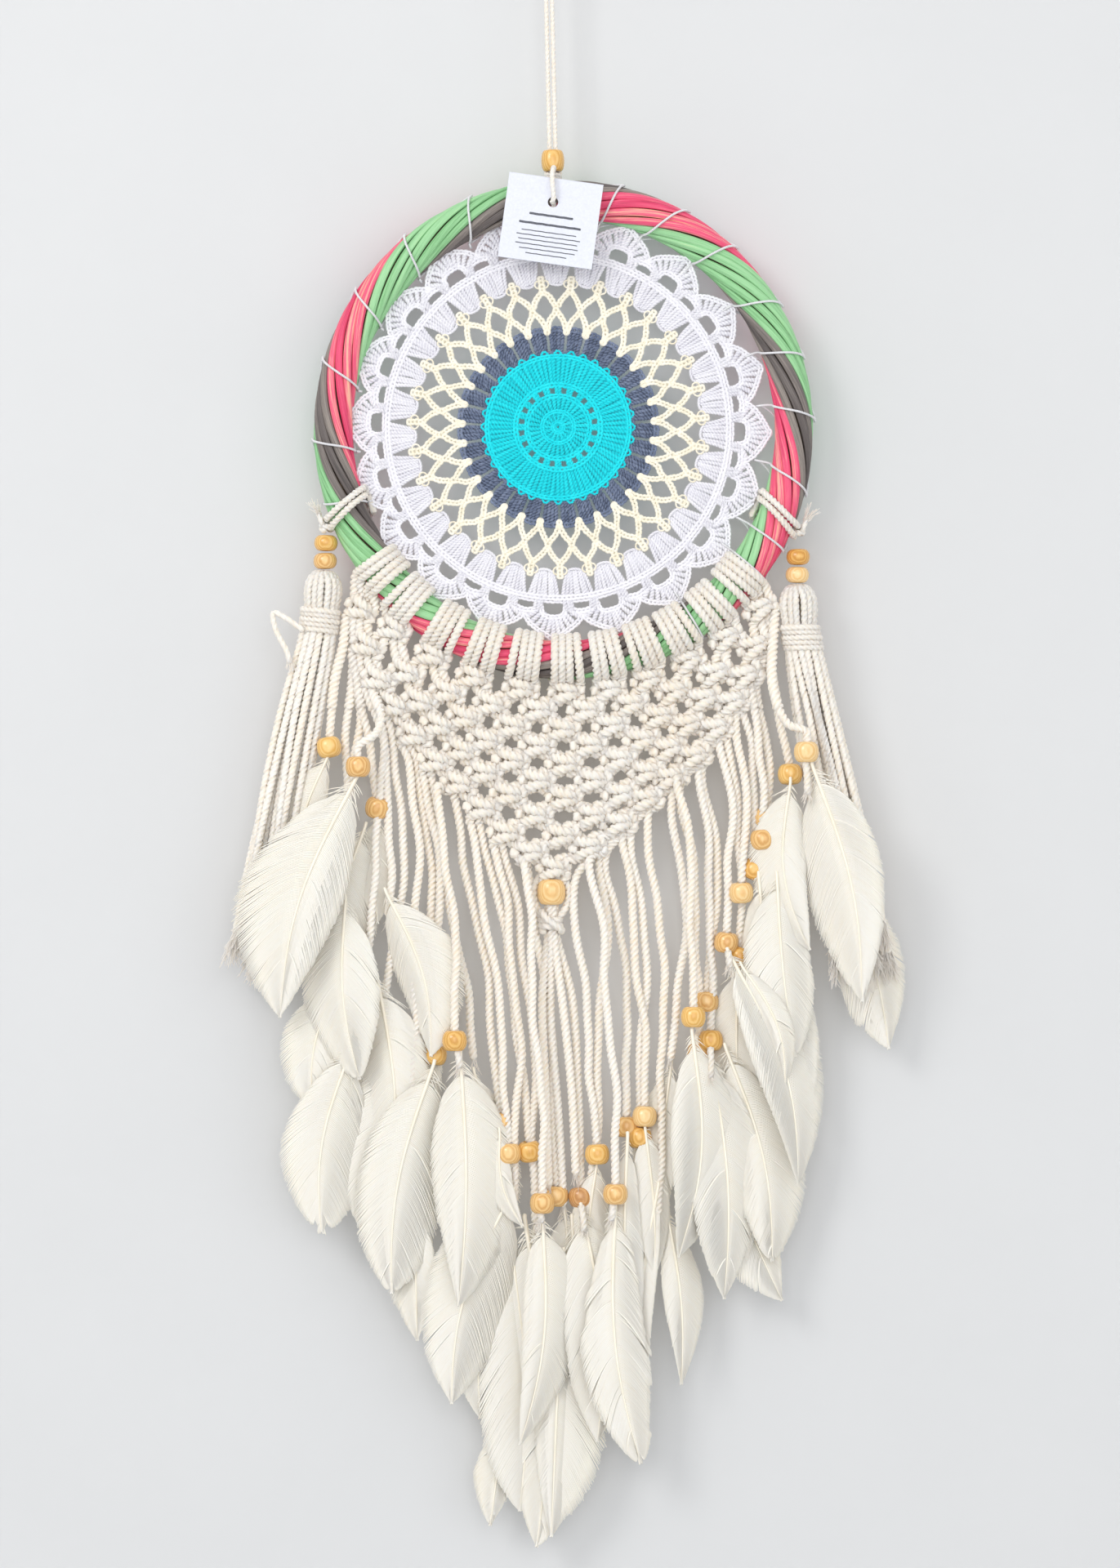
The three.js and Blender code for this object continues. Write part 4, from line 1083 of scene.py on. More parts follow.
def macrame():
    wraps, net, short = Part(), Part(), Part()
    ends = {}
    for s in range(44):
        p = strand_route(s)
        nw = int(np.argmax(p[:, 2] < -1e9)) if False else 0
        # the wrap is the stretch up to where the strand leaves the band
        w = wrap_points(s)
        dist = np.linalg.norm(p - w[-1], axis=1)
        k1 = int(np.argmin(dist[: int(90 / 0.95)])) + 1
        below = np.where(p[:, 2] > SPLIT_Z)[0]
        k2 = int(below[-1]) + 1
        # the net's own knots below the line stay in the net piece
        last_row = 0
        r = 1
        while r <= 11 and 2 * (r - 1) <= s <= 43 - 2 * (r - 1):
            last_row = r
            r += 1
        j, q = divmod(s - 2 * (last_row - 1), 4)
        kp = knot_points(last_row, j, q)[-1]
        k3 = int(np.argmin(np.linalg.norm(p - kp, axis=1))) + 3
        k2 = max(k2, k3)
        tint = rng.random()
        ply_tube(wraps, p, CORD * 1.13, 0, k1 + 2, tint=tint, lobe=0.32)
        ply_tube(net, p, CORD * 1.34, k1, k2 + 1, tint=tint, lobe=0.32)
        ends[s] = (p, k2, tint)
    ob = wraps.make("net_wraps_round_hoop", COTTON, "hoop")
    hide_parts("macrame_header")
    ob = net.make("net_square_knots", COTTON)
    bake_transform(ob)
    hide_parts("macrame_net")
    first = True
    hung = {}
    for s, (p, k, tint) in ends.items():
        if s in DROP_OF:
            continue
        c = Part()
        free = length_of(p[k:])
        if free < 36:
            ply_tube(short, p, FREE, k, len(p), taper_end=True, tint=tint)
            continue
        ply_tube(c, p, FREE, k, len(p), taper_end=True, tint=tint)
        ob = c.make(f"fringe_strand_{s + 1:02d}", COTTON, "skirt")
        if first:
            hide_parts("fringe_left", "fringe_right")
            first = False
        hung[s] = (ob, p[k:])
    if short.n:
        ob = short.make("fringe_short_strands", COTTON, "skirt")
    # the six strands that hang in front
    for name, (s, way, bead_c, tip, y) in DROPS.items():
        p, k, tint = ends[s]
        c = Part()
        ply_tube(c, p, FREE, k, len(p), taper_end=False, tint=tint)
        ob = c.make(f"drop_{name}_strand", COTTON)
        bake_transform(ob)
        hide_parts(f"drop_{name}_cord")
        if length_of(p[k:]) > 36:
            hung[s] = (ob, p[k:])
    return ends, hung


STRANDS, HUNG = macrame()


def fringe_beads():
    mats = [BEAD, HONEY, BEAD, HONEY, BEAD]
    i = 0
    for s, (way, c) in ENDS.items():
        if not c:
            continue
        i += 1
        y = fringe_y(s)
        tilt = rng.normal(0, 0.1) + (0.5 if s == 39 else 0)
        mat = DARKBEAD if s == 23 else mats[i % 5]
        bead(f"fringe_bead_{s + 1:02d}", mat, "skirt", (c[0], y, c[1]), 5.45, 9.0, 1.9, axis=(math.sin(tilt), rng.normal(0, 0.08), math.cos(tilt)))
    for name, (s, way, c, tip, y) in DROPS.items():
        bead(f"drop_{name}_wood_bead", mats[i % 5] if name != "mid_left" else BEAD, f"drop_{name}", (c[0], y, c[1]), 5.5, 9.0, 1.95, node=f"drop_{name}_bead")
        i += 1
    bead("center_wood_bead", BEAD, "skirt", (1.44, -1, -411.12), 6.3, 11.4, 2.6, node="center_bead")
    # gathering knot under the centre bead: the outer strands tied round the inner ones
    c = Part()
    x, z = 1.44, -424.8
    a = np.linspace(0, 2 * np.pi * 2.6, 90)
    c.tube(np.stack([x + (3.9 + 0.4 * np.sin(a * 0.8)) * np.cos(a), -1 + 3.9 * np.sin(a), z + 3.0 - 6.0 * a / a[-1] + 0.5 * np.sin(a + 1)], 1), CORD, plies=3, pitch=PITCH, sides=12)
    c.tube(line([(x - 4.8, -2, z + 5.5), (x - 2, -5.4, z + 2), (x + 2.6, -5.9, z - 1.5), (x + 4.6, -2.5, z - 3.4), (x + 3, 1.5, z - 2)], 0.9), CORD, plies=3, pitch=PITCH, sides=12)
    for sx in (-1, 1):  # the two strands that pass outside the bead
        c.tube(line([(x + sx * 4.6, 0.4, -403.56), (x + sx * 7.4, -0.6, -408.24), (x + sx * 7.9, -0.8, -411.84), (x + sx * 6.6, -0.8, -417.6), (x + sx * 3.9, -1.2, -421.92), (x + sx * 2.6, -0.6, -424.8)], 0.9), CORD, plies=3, pitch=PITCH, sides=12)
    ob = c.make("gathering_knot_cord", COTTON, "skirt")
    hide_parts("gathering_knot")


fringe_beads()


# ---------------------------------------------------------------- frayed ends
def fray(part, at, direction, count, length, spread, radius=0.19, y_spread=0.6):
    """Loose fibres that leave a cord's end, parting as they go."""
    d = np.asarray(direction, float)
    d /= np.linalg.norm(d)
    for _ in range(count):
        L = length * rng.uniform(0.45, 1.1)
        side = rng.normal(0, 1, 3) * np.array((1, y_spread, 0.25))
        side -= d * (side @ d)
        side = side / (np.linalg.norm(side) + 1e-9)
        out = spread * rng.uniform(0.2, 1)
        start = np.asarray(at) + side * rng.uniform(0, 1.1) - d * 1.5
        wave = rng.normal(0, L * 0.05, (3, 3)) * np.array((1, 0.5, 0.4))
        p = line([start, start + d * L * 0.33 + side * out * 0.15 + wave[0], start + d * L * 0.66 + side * out * 0.5 + wave[1], start + d * L + side * out + wave[2]], L / 7)
        part.tube(p, np.linspace(radius, radius * 0.55, len(p)), sides=4)


# ---------------------------------------------------------------- tassels
def tassel(side, beads, head_top, wrap_top, wrap_end, hem, loop_angle, loose):
    body = f"{side}_tassel"
    sx = -1 if side == "left" else 1

    def v3(p, y=0.0):
        return np.array((p[0], y, p[1]))

    # loop round the band, tied in a knot at its outer edge
    c = Part()
    for k, da in enumerate((-1.0, 1.0)):
        t = np.linspace(0, 1, 34)
        a = loop_angle * RAD + (da * 1.05 + 0.2 * np.sin(t * 9 + k) - sx * 5.0 * np.sin(np.pi * t) ** 2 * (t < 0.5)) * RAD
        psi = (8 + 344 * t) * RAD
        c.tube(on_hoop(a, psi, 10.4), 1.7, plies=3, pitch=7.4, sides=12, phase=k)
    b0 = v3(beads[0])
    edge = on_hoop(np.array(loop_angle * RAD), np.array(0.0), np.array(10.4))
    knot = edge * 0.55 + b0 * 0.45
    knot[1] = 0
    aa = np.linspace(0, 2 * np.pi * 1.7, 44)
    c.tube(np.stack([edge[0] + sx * 0.4 + 2.3 * np.cos(aa), 2.5 * np.sin(aa), edge[2] + 0.8 - 3.0 * aa / aa[-1] + 0.5 * np.sin(aa)], 1), 1.4, plies=3, pitch=8.6, sides=12)
    up = np.array((sx * 0.75, -0.2, 1.0))
    c.tube(line([edge + np.array((sx * 1.5, -1.5, -1.5)), edge + np.array((sx * 3.0, -2.4, 1.5)), edge + np.array((sx * 4.2, -2.4, 5.0))], 0.8), 1.2, plies=3, pitch=8.6, sides=12)
    fray(c, edge + np.array((sx * 4.3, -2.4, 5.4)), up, 26, 8.0, 3.4)
    ob = c.make(f"{side}_tassel_loop_cord", COTTON, "hoop")
    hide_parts(f"{side}_tassel_loop")

    for k, b in enumerate(beads):
        bead(f"{side}_tassel_wood_bead_{k + 1}", BEAD if k else HONEY, body, (b[0], 0, b[1]), 5.2, 7.0, 1.7, axis=(0.04 * sx * (k - 0.5), 0, 1), node=f"{side}_tassel_bead_{k + 1}")

    # head of folded cords
    c = Part()
    top, w0, w1, h = v3(head_top), v3(wrap_top), v3(wrap_end), v3(hem)
    ax = w0 - top
    L = np.linalg.norm(ax)
    ax /= L
    ex = np.cross(ax, (0, 1.0, 0))
    ex /= np.linalg.norm(ex)
    ey = np.array((0, 1.0, 0))
    n = 15
    for k in range(n):
        a = 2 * np.pi * k / n + rng.normal(0, 0.05)
        d = ex * math.cos(a) + ey * math.sin(a) * 0.93
        m = rng.normal(0, 0.25, 4)
        tw = np.cross(ax, d)
        pts = [top + d * 0.9 + ax * (1.2 + abs(m[0])), top + d * (3.2 + m[1]) + ax * 1.0 + tw * 0.6, top + d * 6.3 + ax * 4.4, top + d * (7.15 + m[2] * 0.4) + ax * L * 0.6, top + d * 6.6 + ax * L * 0.92, top + d * 6.1 + ax * (L + 3.0)]
        c.tube(line(pts, 0.9), 1.75, plies=3, pitch=7.4, phase=rng.uniform(0, 6), sides=12)
    ob = c.make(f"{side}_tassel_folded_head", COTTON, body)
    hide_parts(f"{side}_tassel_head")

    # wrap
    c = Part()
    wa = w1 - w0
    LW = np.linalg.norm(wa)
    wa /= LW
    turns = 5.2
    t = np.linspace(0, 1, 190)
    a = 2 * np.pi * turns * t + 0.7
    rr = 7.9 + 0.22 * np.sin(a * 0.37 + 1) + 0.15 * np.sin(a * 1.9)
    along = 1.4 + (LW - 2.6) * t + 0.25 * np.sin(a * 0.53)
    cx = w0[None] + wa[None] * along[:, None] + ex[None] * (rr * np.cos(a))[:, None] + ey[None] * (rr * 0.93 * np.sin(a))[:, None]
    c.tube(cx, 1.55, plies=3, pitch=7.4, sides=12)
    if loose:
        q = line([v3((-107.64, -295.92), -7.4), v3((-115.56, -290.52), -7.6), v3((-120.6, -288.36), -7.0), v3((-119.88, -295.2), -7.0), v3((-114.84, -305.28), -7.4), v3((-113.4, -310.32), -7.4)], 0.9)
        c.tube(q, 1.35, plies=3, pitch=8.6, sides=12)
        fray(c, q[-1], q[-1] - q[-3], 16, 6, 2)
    ob = c.make(f"{side}_tassel_wrap_cord", COTTON, body)
    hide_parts(f"{side}_tassel_wrap")

    # skirt: cords that hang side by side, their ends frayed
    c, f = Part(), Part()
    sk = h - w1
    LS = np.linalg.norm(sk)
    places = [(0.0, 0.0)] + [(0.46, 2 * np.pi * k / 6 + 0.3) for k in range(6)] + [(0.95, 2 * np.pi * k / 14) for k in range(14)]
    for k, (r, a) in enumerate(places):
        a0 = a + rng.normal(0, 0.05)
        a1 = a + rng.normal(0, 0.35)
        p0 = w1 - wa * 3 + ex * (7.0 * r * math.cos(a0)) + ey * (6.2 * r * math.sin(a0))
        Lk = rng.uniform(0.86, 1.03)
        pts = [p0]
        r1x, r1y = 11.8 * r * rng.uniform(0.85, 1.15), 6.6 * r
        sway = rng.normal(0, 0.9, 2)
        for q in (0.06, 0.25, 0.5, 0.75, 1.0):
            s = q ** 0.8
            centre = w1 + sk * q * Lk
            bow = math.sin(q * math.pi) * 1.5 * sx
            aa_ = a0 + (a1 - a0) * q
            rx = 7.2 * r * (1 - s) + r1x * s
            ry = 6.4 * r * (1 - s) + r1y * s
            pts.append(centre + ex * (rx * math.cos(aa_) + bow + sway[0] * math.sin(q * 5)) + ey * (ry * math.sin(aa_) + sway[1] * 0.3 * math.sin(q * 4)))
        p = line(pts, 1.15)
        c.tube(p, 1.78, plies=3, pitch=7.4, lobe=0.36, phase=rng.uniform(0, 6), sides=10)
        fray(f, p[-1], p[-1] - p[-4], 56, 15, 4.2, radius=0.25)
        if k % 3 == 0:
            i = rng.integers(len(p) // 3, len(p) - 8)
            fray(f, p[i], p[i + 2] - p[i] + rng.normal(0, 0.6, 3), 2, 9, 2.5, radius=0.13)
    ob = c.make(f"{side}_tassel_skirt_cords", COTTON, body)
    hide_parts(f"{side}_tassel_skirt")
    ob = f.make(f"{side}_tassel_frayed_ends", COTTON_FINE, body)


tassel("left", ((-97.92, -257.4), (-98.28, -265.32)), (-98.64, -270), (-99.72, -284.76), (-101.52, -298.08), (-127.8, -435.6), -112, True)
tassel("right", ((110.16, -263.52), (109.8, -271.44)), (109.8, -276.12), (110.52, -291.96), (112.68, -306), (137.88, -439.2), 113.5, False)


# ---------------------------------------------------------------- feathers
def feather(name, body, root, tip, width, y, bend=0.0, curl=0.0, gap=0.8, start=0.025, blunt=0.85, peak=0.46, ragged=0.0, splits=3, replaces=None, down=0.07, side_bias=0.0):
    """A vane of overlapping barbs either side of a tapering quill. Sizes in millimetres."""
    g = np.random.default_rng(sum(ord(ch) * (i + 3) for i, ch in enumerate(name)))
    side_bias = g.uniform(-0.2, 0.2)
    bend = bend * 1.5
    width = width * 1.1
    root, tip = np.array(root, float), np.array(tip, float)
    d2 = tip - root
    L = np.linalg.norm(d2)
    d2 /= L
    n2 = np.array((d2[1], -d2[0]))  # to the feather's right as seen from the front

    def rachis(u):
        u = np.asarray(u, float)
        along = u * L
        side = bend * np.sin(np.pi * u ** 1.1)
        x = root[0] + d2[0] * along + n2[0] * side
        z = root[1] + d2[1] * along + n2[1] * side
        return np.stack([x, y + curl * u ** 2, z], -1)

    c = Part()
    nb = int((1 - start) * L / gap)
    roll0, roll1 = g.normal(0, 0.16), g.normal(0, 0.22)
    cups = (0.1 + g.normal(0, 0.07), 0.1 + g.normal(0, 0.07))
    m = 7  # points along a barb
    for side in (-1, 1):
        u = start + (1 - start) * (np.arange(nb) + 0.5) / nb
        t = (u - start) / (1 - start)
        wavy = (g.uniform(5, 9), g.uniform(0, 6))

        def outline(q):
            """Half width of the vane, q along it: rises to its widest at `peak`, then narrows to the tip."""
            q = np.clip(q, 0, 1)
            rise = np.sin(np.pi / 2 * np.clip(q / peak, 0, 1)) ** 0.8
            fall = np.cos(np.pi / 2 * np.clip((q - peak) / (1 - peak), 0, 1)) ** blunt
            return width / 2 * np.where(q < peak, rise, fall) * (1 + 0.04 * np.sin(q * wavy[0] + wavy[1]))

        ang = (48 - 26 * t) * RAD
        w = outline(t) * 0.8
        for _ in range(8):  # a barb leans towards the tip, so its end meets the outline further on
            w = 0.5 * w + 0.5 * outline(t + (w / np.tan(ang) * 0.85 + 0.8) / L)
        w = w * (1 + side * side_bias) * (1 + g.normal(0, 0.015, nb))
        fwd = w / np.tan(ang) * 0.85 + 0.8
        # groups of barbs cling together, with splits between the groups
        cuts = np.sort(g.uniform(0.1, 0.97, splits))
        group = np.searchsorted(cuts, t)
        lean = g.normal(0, 0.055, splits + 1)[group] + g.normal(0, 0.008, nb)
        short = 1 - np.abs(g.normal(0, 0.03 + ragged, splits + 1))[group]
        loose = t < down
        w = w * short
        lean = lean + np.where(loose, g.normal(0, 0.22, nb), 0)
        w = np.where(loose, np.maximum(w, width * 0.13) * g.uniform(0.6, 1.25, nb), w)
        last = t > 0.97
        w = np.where(last, np.maximum(w, 0.6), w)
        base = rachis(u)
        e = 1e-3
        tan = rachis(np.minimum(u + e, 1.0)) - rachis(np.minimum(u + e, 1.0) - e)
        tan /= np.linalg.norm(tan, axis=1)[:, None]
        nor = np.stack([tan[:, 2], 0 * tan[:, 0], -tan[:, 0]], -1) * side
        roll = (roll0 + roll1 * u)[:, None]
        nor = nor * np.cos(roll) + np.array((0, 1.0, 0)) * np.sin(roll) * side
        f = np.linspace(0, 1, m)
        lat = w[:, None] * f[None] ** 0.92
        forw = fwd[:, None] * f[None] ** 1.35 + lean[:, None] * w[:, None] * f[None]
        cup = cups[(side + 1) // 2] * w[:, None] * f[None] ** 2 + np.where(loose, g.normal(0, 1, nb), 0)[:, None] * 0.5 * f[None] ** 1.5
        wav = g.normal(0, 0.12, splits + 1)[group][:, None] * np.sin(f * 3)[None]
        cen = base[:, None, :] + nor[:, None, :] * lat[..., None] + tan[:, None, :] * forw[..., None]
        cen[..., 1] += cup + wav
        # a barb is a thin blade, leaning a little over its neighbour
        along = np.gradient(cen, axis=1)
        along /= np.linalg.norm(along, axis=2)[..., None]
        out = np.array((0, -1.0, 0))
        wide = np.cross(along, out)
        wide /= np.linalg.norm(wide, axis=2)[..., None]
        tilt = 0.09
        wd = wide * math.cos(tilt) + out * math.sin(tilt) * side
        th = np.cross(wd, along)
        hw = gap * np.where(loose, 0.3, 0.82)[:, None] * (1 - 0.72 * f[None] ** 3)
        ht = 0.075 * np.ones_like(hw)
        rings = np.stack([cen + wd * hw[..., None], cen + th * ht[..., None], cen - wd * hw[..., None], cen - th * ht[..., None]], 2)
        s = np.broadcast_to((f * 12)[None, :, None], rings.shape[:3])
        fib = np.stack([s, s * 0 + u[:, None, None] * L, s * 0 + side], -1)
        tint = np.clip(0.55 + g.normal(0, 0.12, splits + 1)[group] + g.normal(0, 0.05, nb), 0, 1)
        for i in range(nb):
            c.grid(rings[i], fib[i], tint=float(tint[i]))
    ob = c.make(name, FEATHER, body)
    if replaces:
        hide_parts(replaces)
    q = Part()
    u = np.linspace(-0.015, 0.985, max(12, int(L / 2.2)))
    p = rachis(np.clip(u, 0, 1))
    p[0] = p[0] - np.array((d2[0], 0, d2[1])) * 1.2
    base_r = 0.28 + 0.005 * L
    rad = base_r * np.clip(1 - np.clip(u, 0, 1), 0, 1) ** 0.8 + 0.12
    p[:, 1] -= 0.22
    q.tube(p, rad, sides=8, flat=(1.0, 0.9))
    qb = q.make(name + "_quill", QUILL, body)
    return ob


FEATHERS = [
    # name, body, root, tip, width (1 = 0.36 mm), y, bend, extra
    ("feather_drop_far_left", "drop_far_left", (-83.52, -360), (-117.36, -465.48), 116, -15.0, 5, dict(replaces="drop_far_left_feather", splits=4, peak=0.54)),
    ("feather_drop_left", "drop_left", (-38.52, -481.68), (-39.24, -592.56), 98, -9.5, -2, dict(replaces="drop_left_feather", peak=0.44)),
    ("feather_drop_mid_left", "drop_mid_left", (-2.52, -552.24), (-12.24, -653.4), 68, -9.5, -4, dict(replaces="drop_mid_left_feather", peak=0.4)),
    ("feather_drop_mid_right", "drop_mid_right", (29.52, -547.92), (40.68, -661.68), 82, -9.5, 4, dict(replaces="drop_mid_right_feather", ragged=0.06, splits=8, blunt=0.6, peak=0.54)),
    ("feather_drop_right", "drop_right", (63, -470.88), (57.24, -570.96), 82, -9.5, -5, dict(replaces="drop_right_feather", peak=0.5)),
    ("feather_drop_far_right", "drop_far_right", (115.2, -354.24), (137.52, -458.64), 92, -15.0, -4, dict(replaces="drop_far_right_feather", peak=0.42)),
    ("feather_lower", "skirt", (-10.44, -554.4), (-5.04, -699.48), 124, -1.5, -5, dict(replaces="lower_feather", peak=0.58, splits=5)),
    ("feather_01", "skirt", (-88.92, -413.28), (-82.8, -493.2), 92, -8.0, 3, dict(blunt=0.7, splits=5)),
    ("feather_02", "skirt", (-71.64, -410.4), (-51.48, -483.12), 78, -5.6, -4, {}),
    ("feather_03", "skirt", (-93.24, -451.8), (-103.32, -506.16), 78, -4.0, 3, dict(blunt=0.6)),
    ("feather_04", "skirt", (-86.04, -478.8), (-99.72, -560.52), 100, -5.2, 4, dict(blunt=0.6, peak=0.58)),
    ("feather_05", "skirt", (-75.24, -448.2), (-68.76, -548.64), 100, -3.4, -3, dict(splits=9, ragged=0.09)),
    ("feather_06", "skirt", (-50.04, -486), (-68.76, -587.52), 104, -6.0, 4, dict(splits=5, blunt=0.7, peak=0.54)),
    ("feather_07", "skirt", (-59.04, -550.8), (-57.6, -608.4), 54, -3.0, 0, {}),
    ("feather_08", "skirt", (-15.12, -541.8), (-42.48, -636.12), 108, -4.6, 5, dict(peak=0.5)),
    ("feather_09", "skirt", (-21.24, -515.88), (-11.16, -558), 32, -6.4, 3, {}),
    ("feather_10", "skirt", (6.84, -568.8), (1.44, -694.8), 62, -3.2, 0, dict(peak=0.6)),
    ("feather_11", "skirt", (-19.08, -644.4), (-25.56, -690.48), 46, 1.6, 0, {}),
    ("feather_12", "skirt", (14.4, -549), (21.6, -652.68), 88, -5.0, -4, {}),
    ("feather_13", "skirt", (34.92, -517.68), (38.52, -621.36), 42, -6.6, 2, {}),
    ("feather_14", "skirt", (48.6, -540), (41.4, -638.64), 38, -3.8, 3, {}),
    ("feather_15", "skirt", (52.2, -550.8), (58.68, -627.84), 46, -1.8, -2, {}),
    ("feather_16", "skirt", (71.28, -482.4), (77.4, -589.68), 88, -6.2, -3, dict(splits=6)),
    ("feather_17", "skirt", (78.84, -436.68), (109.8, -539.28), 88, -7.6, -6, dict(splits=2)),
    ("feather_18", "skirt", (77.76, -478.8), (98.64, -573.48), 84, -3.6, -4, dict(blunt=0.65, peak=0.58)),
    ("feather_19", "skirt", (71.64, -522), (102.96, -591.12), 74, 0.6, 0, dict(peak=0.54)),
    ("feather_20", "skirt", (84.6, -442.8), (104.04, -496.8), 34, -8.4, -4, {}),
    ("feather_21", "skirt", (92.52, -403.2), (93.96, -496.8), 60, -4.0, -2, {}),
    ("feather_22", "skirt", (100.44, -403.2), (108.72, -483.12), 80, -6.6, 1, dict(blunt=0.7, peak=0.54)),
    ("feather_23", "skirt", (106.56, -361.8), (114.84, -436.32), 66, -7.4, 5, dict(splits=2)),
    ("feather_24", "skirt", (115.56, -396), (150.12, -480.24), 84, 0.6, -5, dict(peak=0.58)),
    ("feather_25", "skirt", (-75.24, -377.28), (-75.24, -424.8), 46, -1.4, 1, {}),
    ("feather_26", "skirt", (-96.48, -350.64), (-109.8, -406.8), 46, -4.5, 3, {}),
    ("feather_27", "skirt", (-59.76, -498.6), (-52.92, -558), 50, -1.4, 1, {}),
    ("feather_28", "skirt", (-32.76, -489.6), (-21.24, -550.8), 56, -1.6, -1, {}),
    ("feather_29", "skirt", (-52.56, -467.28), (-57.24, -522), 44, 1.2, 1, {}),
    ("feather_30", "skirt", (6.84, -549.36), (11.88, -622.8), 60, 0.5, -1, {}),
    ("feather_31", "skirt", (18.36, -550.8), (27.72, -630), 62, 0.9, 1, {}),
    ("feather_32", "skirt", (42.48, -513.72), (47.16, -579.6), 44, -4.2, -1, {}),
    ("feather_33", "skirt", (21.6, -529.92), (16.92, -586.8), 44, -3.0, 1, {}),
    ("feather_34", "skirt", (54.36, -486), (48.6, -558), 56, -1.5, 1, {}),
    ("feather_35", "skirt", (-5.76, -558), (-18.36, -651.6), 76, 1.6, 2, {}),
    ("feather_36", "skirt", (84.24, -439.92), (87.84, -529.2), 66, -1.0, 2, {}),
    ("feather_38", "skirt", (-80.28, -381.6), (-98.28, -462.6), 92, -2.0, 3, {}),
    ("feather_39", "skirt", (-61.56, -475.2), (-78.84, -565.2), 84, -1.0, 3, {}),
    ("feather_40", "skirt", (-15.48, -572.4), (-12.6, -684), 104, 0.4, -3, {}),
    ("feather_41", "skirt", (-25.56, -536.4), (-29.88, -642.96), 84, -1.0, 2, {}),
    ("feather_42", "skirt", (10.44, -554.4), (11.16, -666), 74, -1.0, -2, {}),
    ("feather_43", "skirt", (65.16, -475.2), (84.24, -580.32), 84, -1.5, -2, {}),
    ("feather_44", "skirt", (93.24, -424.8), (112.68, -519.12), 64, -0.6, -3, {}),
    ("feather_37", "skirt", (-79.56, -486), (-86.76, -550.8), 70, 0.2, 1, {}),
]
for name, body, root, tip, w, y, bend, extra in FEATHERS:
    feather(name, body, root, tip, w * PXMM, y, bend=bend, **extra)


def strand_frays():
    c = Part()
    for s, (ob, p) in HUNG.items():
        if s in DROP_OF or ENDS[s][1]:
            continue
        fray(c, p[-1], p[-1] - p[-4], 14, 7.5, 2.2, radius=0.17)
    ob = c.make("fringe_frayed_ends", COTTON_FINE, "skirt")


strand_frays()


def tails():
    """Cord ends that come out under a bead and end in a tuft, where the feather is glued."""
    for name, body, at, to, y in (
        ("drop_left_tail", "drop_left", (-39.96, -480.24), (-38.88, -488.16), -10.2),
        ("fringe_tail_24", "skirt", (14.4, -549), (15.84, -560.16), -6.0),
        ("fringe_tail_35", "skirt", (71.28, -479.52), (71.28, -492.48), -7.4),
        ("drop_mid_left_tail", "drop_mid_left", (-3.24, -551.16), (-3.24, -555.84), -10.2),
        ("drop_mid_right_tail", "drop_mid_right", (28.44, -547.2), (27.72, -555.12), -10.2),
        ("drop_far_right_tail", "drop_far_right", (112.68, -353.16), (113.4, -367.92), -15.6),
        ("fringe_tail_37", "skirt", (78.84, -437.04), (79.56, -444.24), -8.2),
    ):
        c = Part()
        p = line([(at[0], y, at[1]), ((at[0] + to[0]) / 2 + 0.3, y - 0.4, (at[1] + to[1]) / 2), (to[0], y - 0.3, to[1])], 0.8)
        c.tube(p, CORD * 0.95, plies=3, pitch=PITCH, sides=12, lobe=0.36)
        fray(c, p[-1], p[-1] - p[-3], 26, 5.5, 2.2, radius=0.2)
        ob = c.make(name, COTTON, body)


tails()


# ---------------------------------------------------------------- wall, floor, light
def plain(name, colour, rough=0.9):
    m, nt, p = new_material(name)
    c = nt.nodes.new("ShaderNodeTexCoord").outputs["Object"]
    n = noise(nt, c, 14, 3, 0.5)
    lo = tuple(x - 1.5 for x in colour)
    nt.links.new(ramp(nt, n, [(0.3, lo), (0.7, colour)]), p.inputs["Base Color"])
    p.inputs["Roughness"].default_value = rough
    p.inputs["Specular IOR Level"].default_value = 0.1
    return m, nt, p


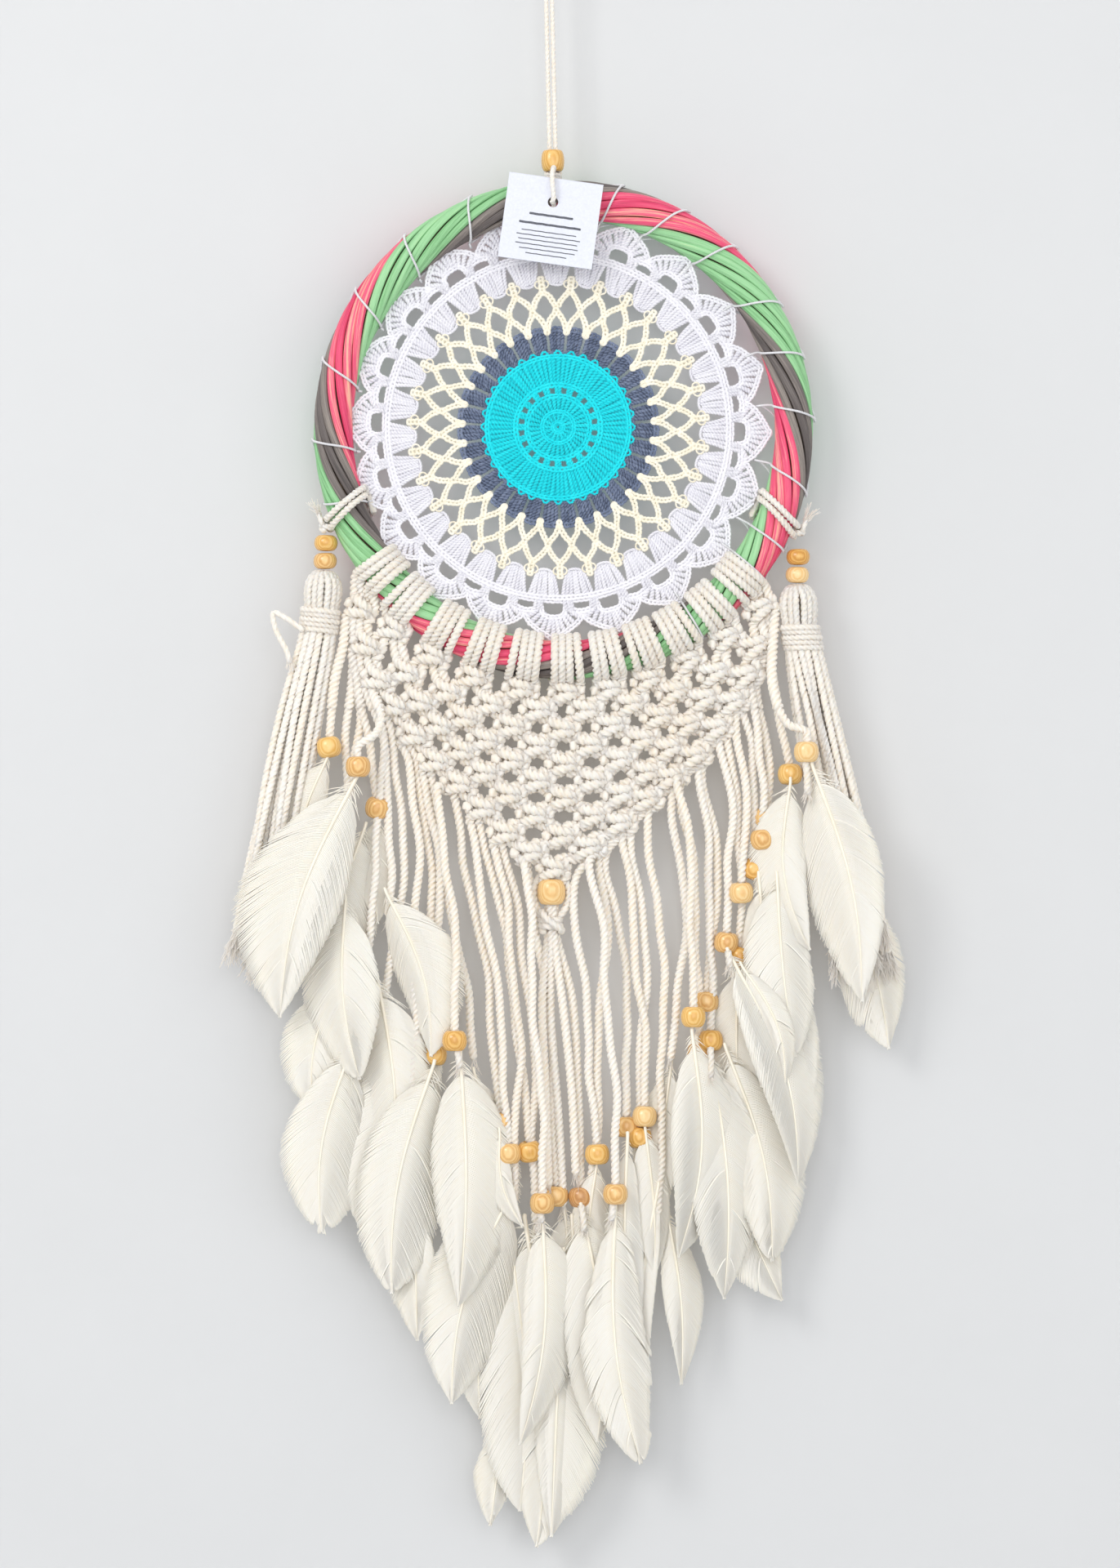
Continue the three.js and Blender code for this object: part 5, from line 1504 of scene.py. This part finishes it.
def quad(name, pts, mat):
    me = bpy.data.meshes.new(name)
    me.from_pydata(pts, [], [(0, 1, 2, 3)])
    me.materials.append(mat)
    ob = bpy.data.objects.new(name, me)
    scene.collection.objects.link(ob)
    return ob


wall_mat, nt, p = plain("wall", (214, 215, 216))
# seen from behind, the wall lets the object show
geo = nt.nodes.new("ShaderNodeNewGeometry")
clear = nt.nodes.new("ShaderNodeBsdfTransparent")
mix = nt.nodes.new("ShaderNodeMixShader")
out = next(n for n in nt.nodes if n.type == "OUTPUT_MATERIAL")
path = nt.nodes.new("ShaderNodeLightPath")
nt.links.new(maths(nt, "MAXIMUM", geo.outputs["Backfacing"], path.outputs["Is Shadow Ray"]), mix.inputs[0])
nt.links.new(p.outputs[0], mix.inputs[1])
nt.links.new(clear.outputs[0], mix.inputs[2])
nt.links.new(mix.outputs[0], out.inputs["Surface"])
WY = 0.021
quad("wall", [(-3, WY, -0.86), (3, WY, -0.86), (3, WY, 2.2), (-3, WY, 2.2)], wall_mat)
floor_mat, nt, p = plain("floor", (212, 213, 214))
quad("floor", [(-4, -4, -0.86), (4, -4, -0.86), (4, 4, -0.86), (-4, 4, -0.86)], floor_mat)

world = bpy.data.worlds.new("world")
scene.world = world
world.use_nodes = True
world.node_tree.nodes["Background"].inputs[0].default_value = (0.985, 0.99, 1.0, 1)
world.node_tree.nodes["Background"].inputs[1].default_value = 0.8


def area(name, loc, target, size, power, colour=(1, 1, 1)):
    data = bpy.data.lights.new(name, "AREA")
    data.shape = "SQUARE"
    data.size = size
    data.energy = power
    data.color = colour
    ob = bpy.data.objects.new(name, data)
    ob.location = loc
    from mathutils import Vector

    ob.rotation_euler = (Vector(target) - Vector(loc)).to_track_quat("-Z", "Y").to_euler()
    scene.collection.objects.link(ob)


area("key", (-1.2, -1.7, 0.7), (0, 0, -0.35), 0.8, 15, (1, 0.99, 0.975))
area("front", (0.1, -2.5, 0.05), (0, 0, -0.38), 1.5, 14, (1, 0.995, 0.985))
area("side", (1.5, -1.6, -0.1), (0, 0, -0.4), 1.2, 3.5, (1, 1, 1))
area("back", (0.3, 1.8, 0.6), (0, 0, -0.35), 1.2, 15)

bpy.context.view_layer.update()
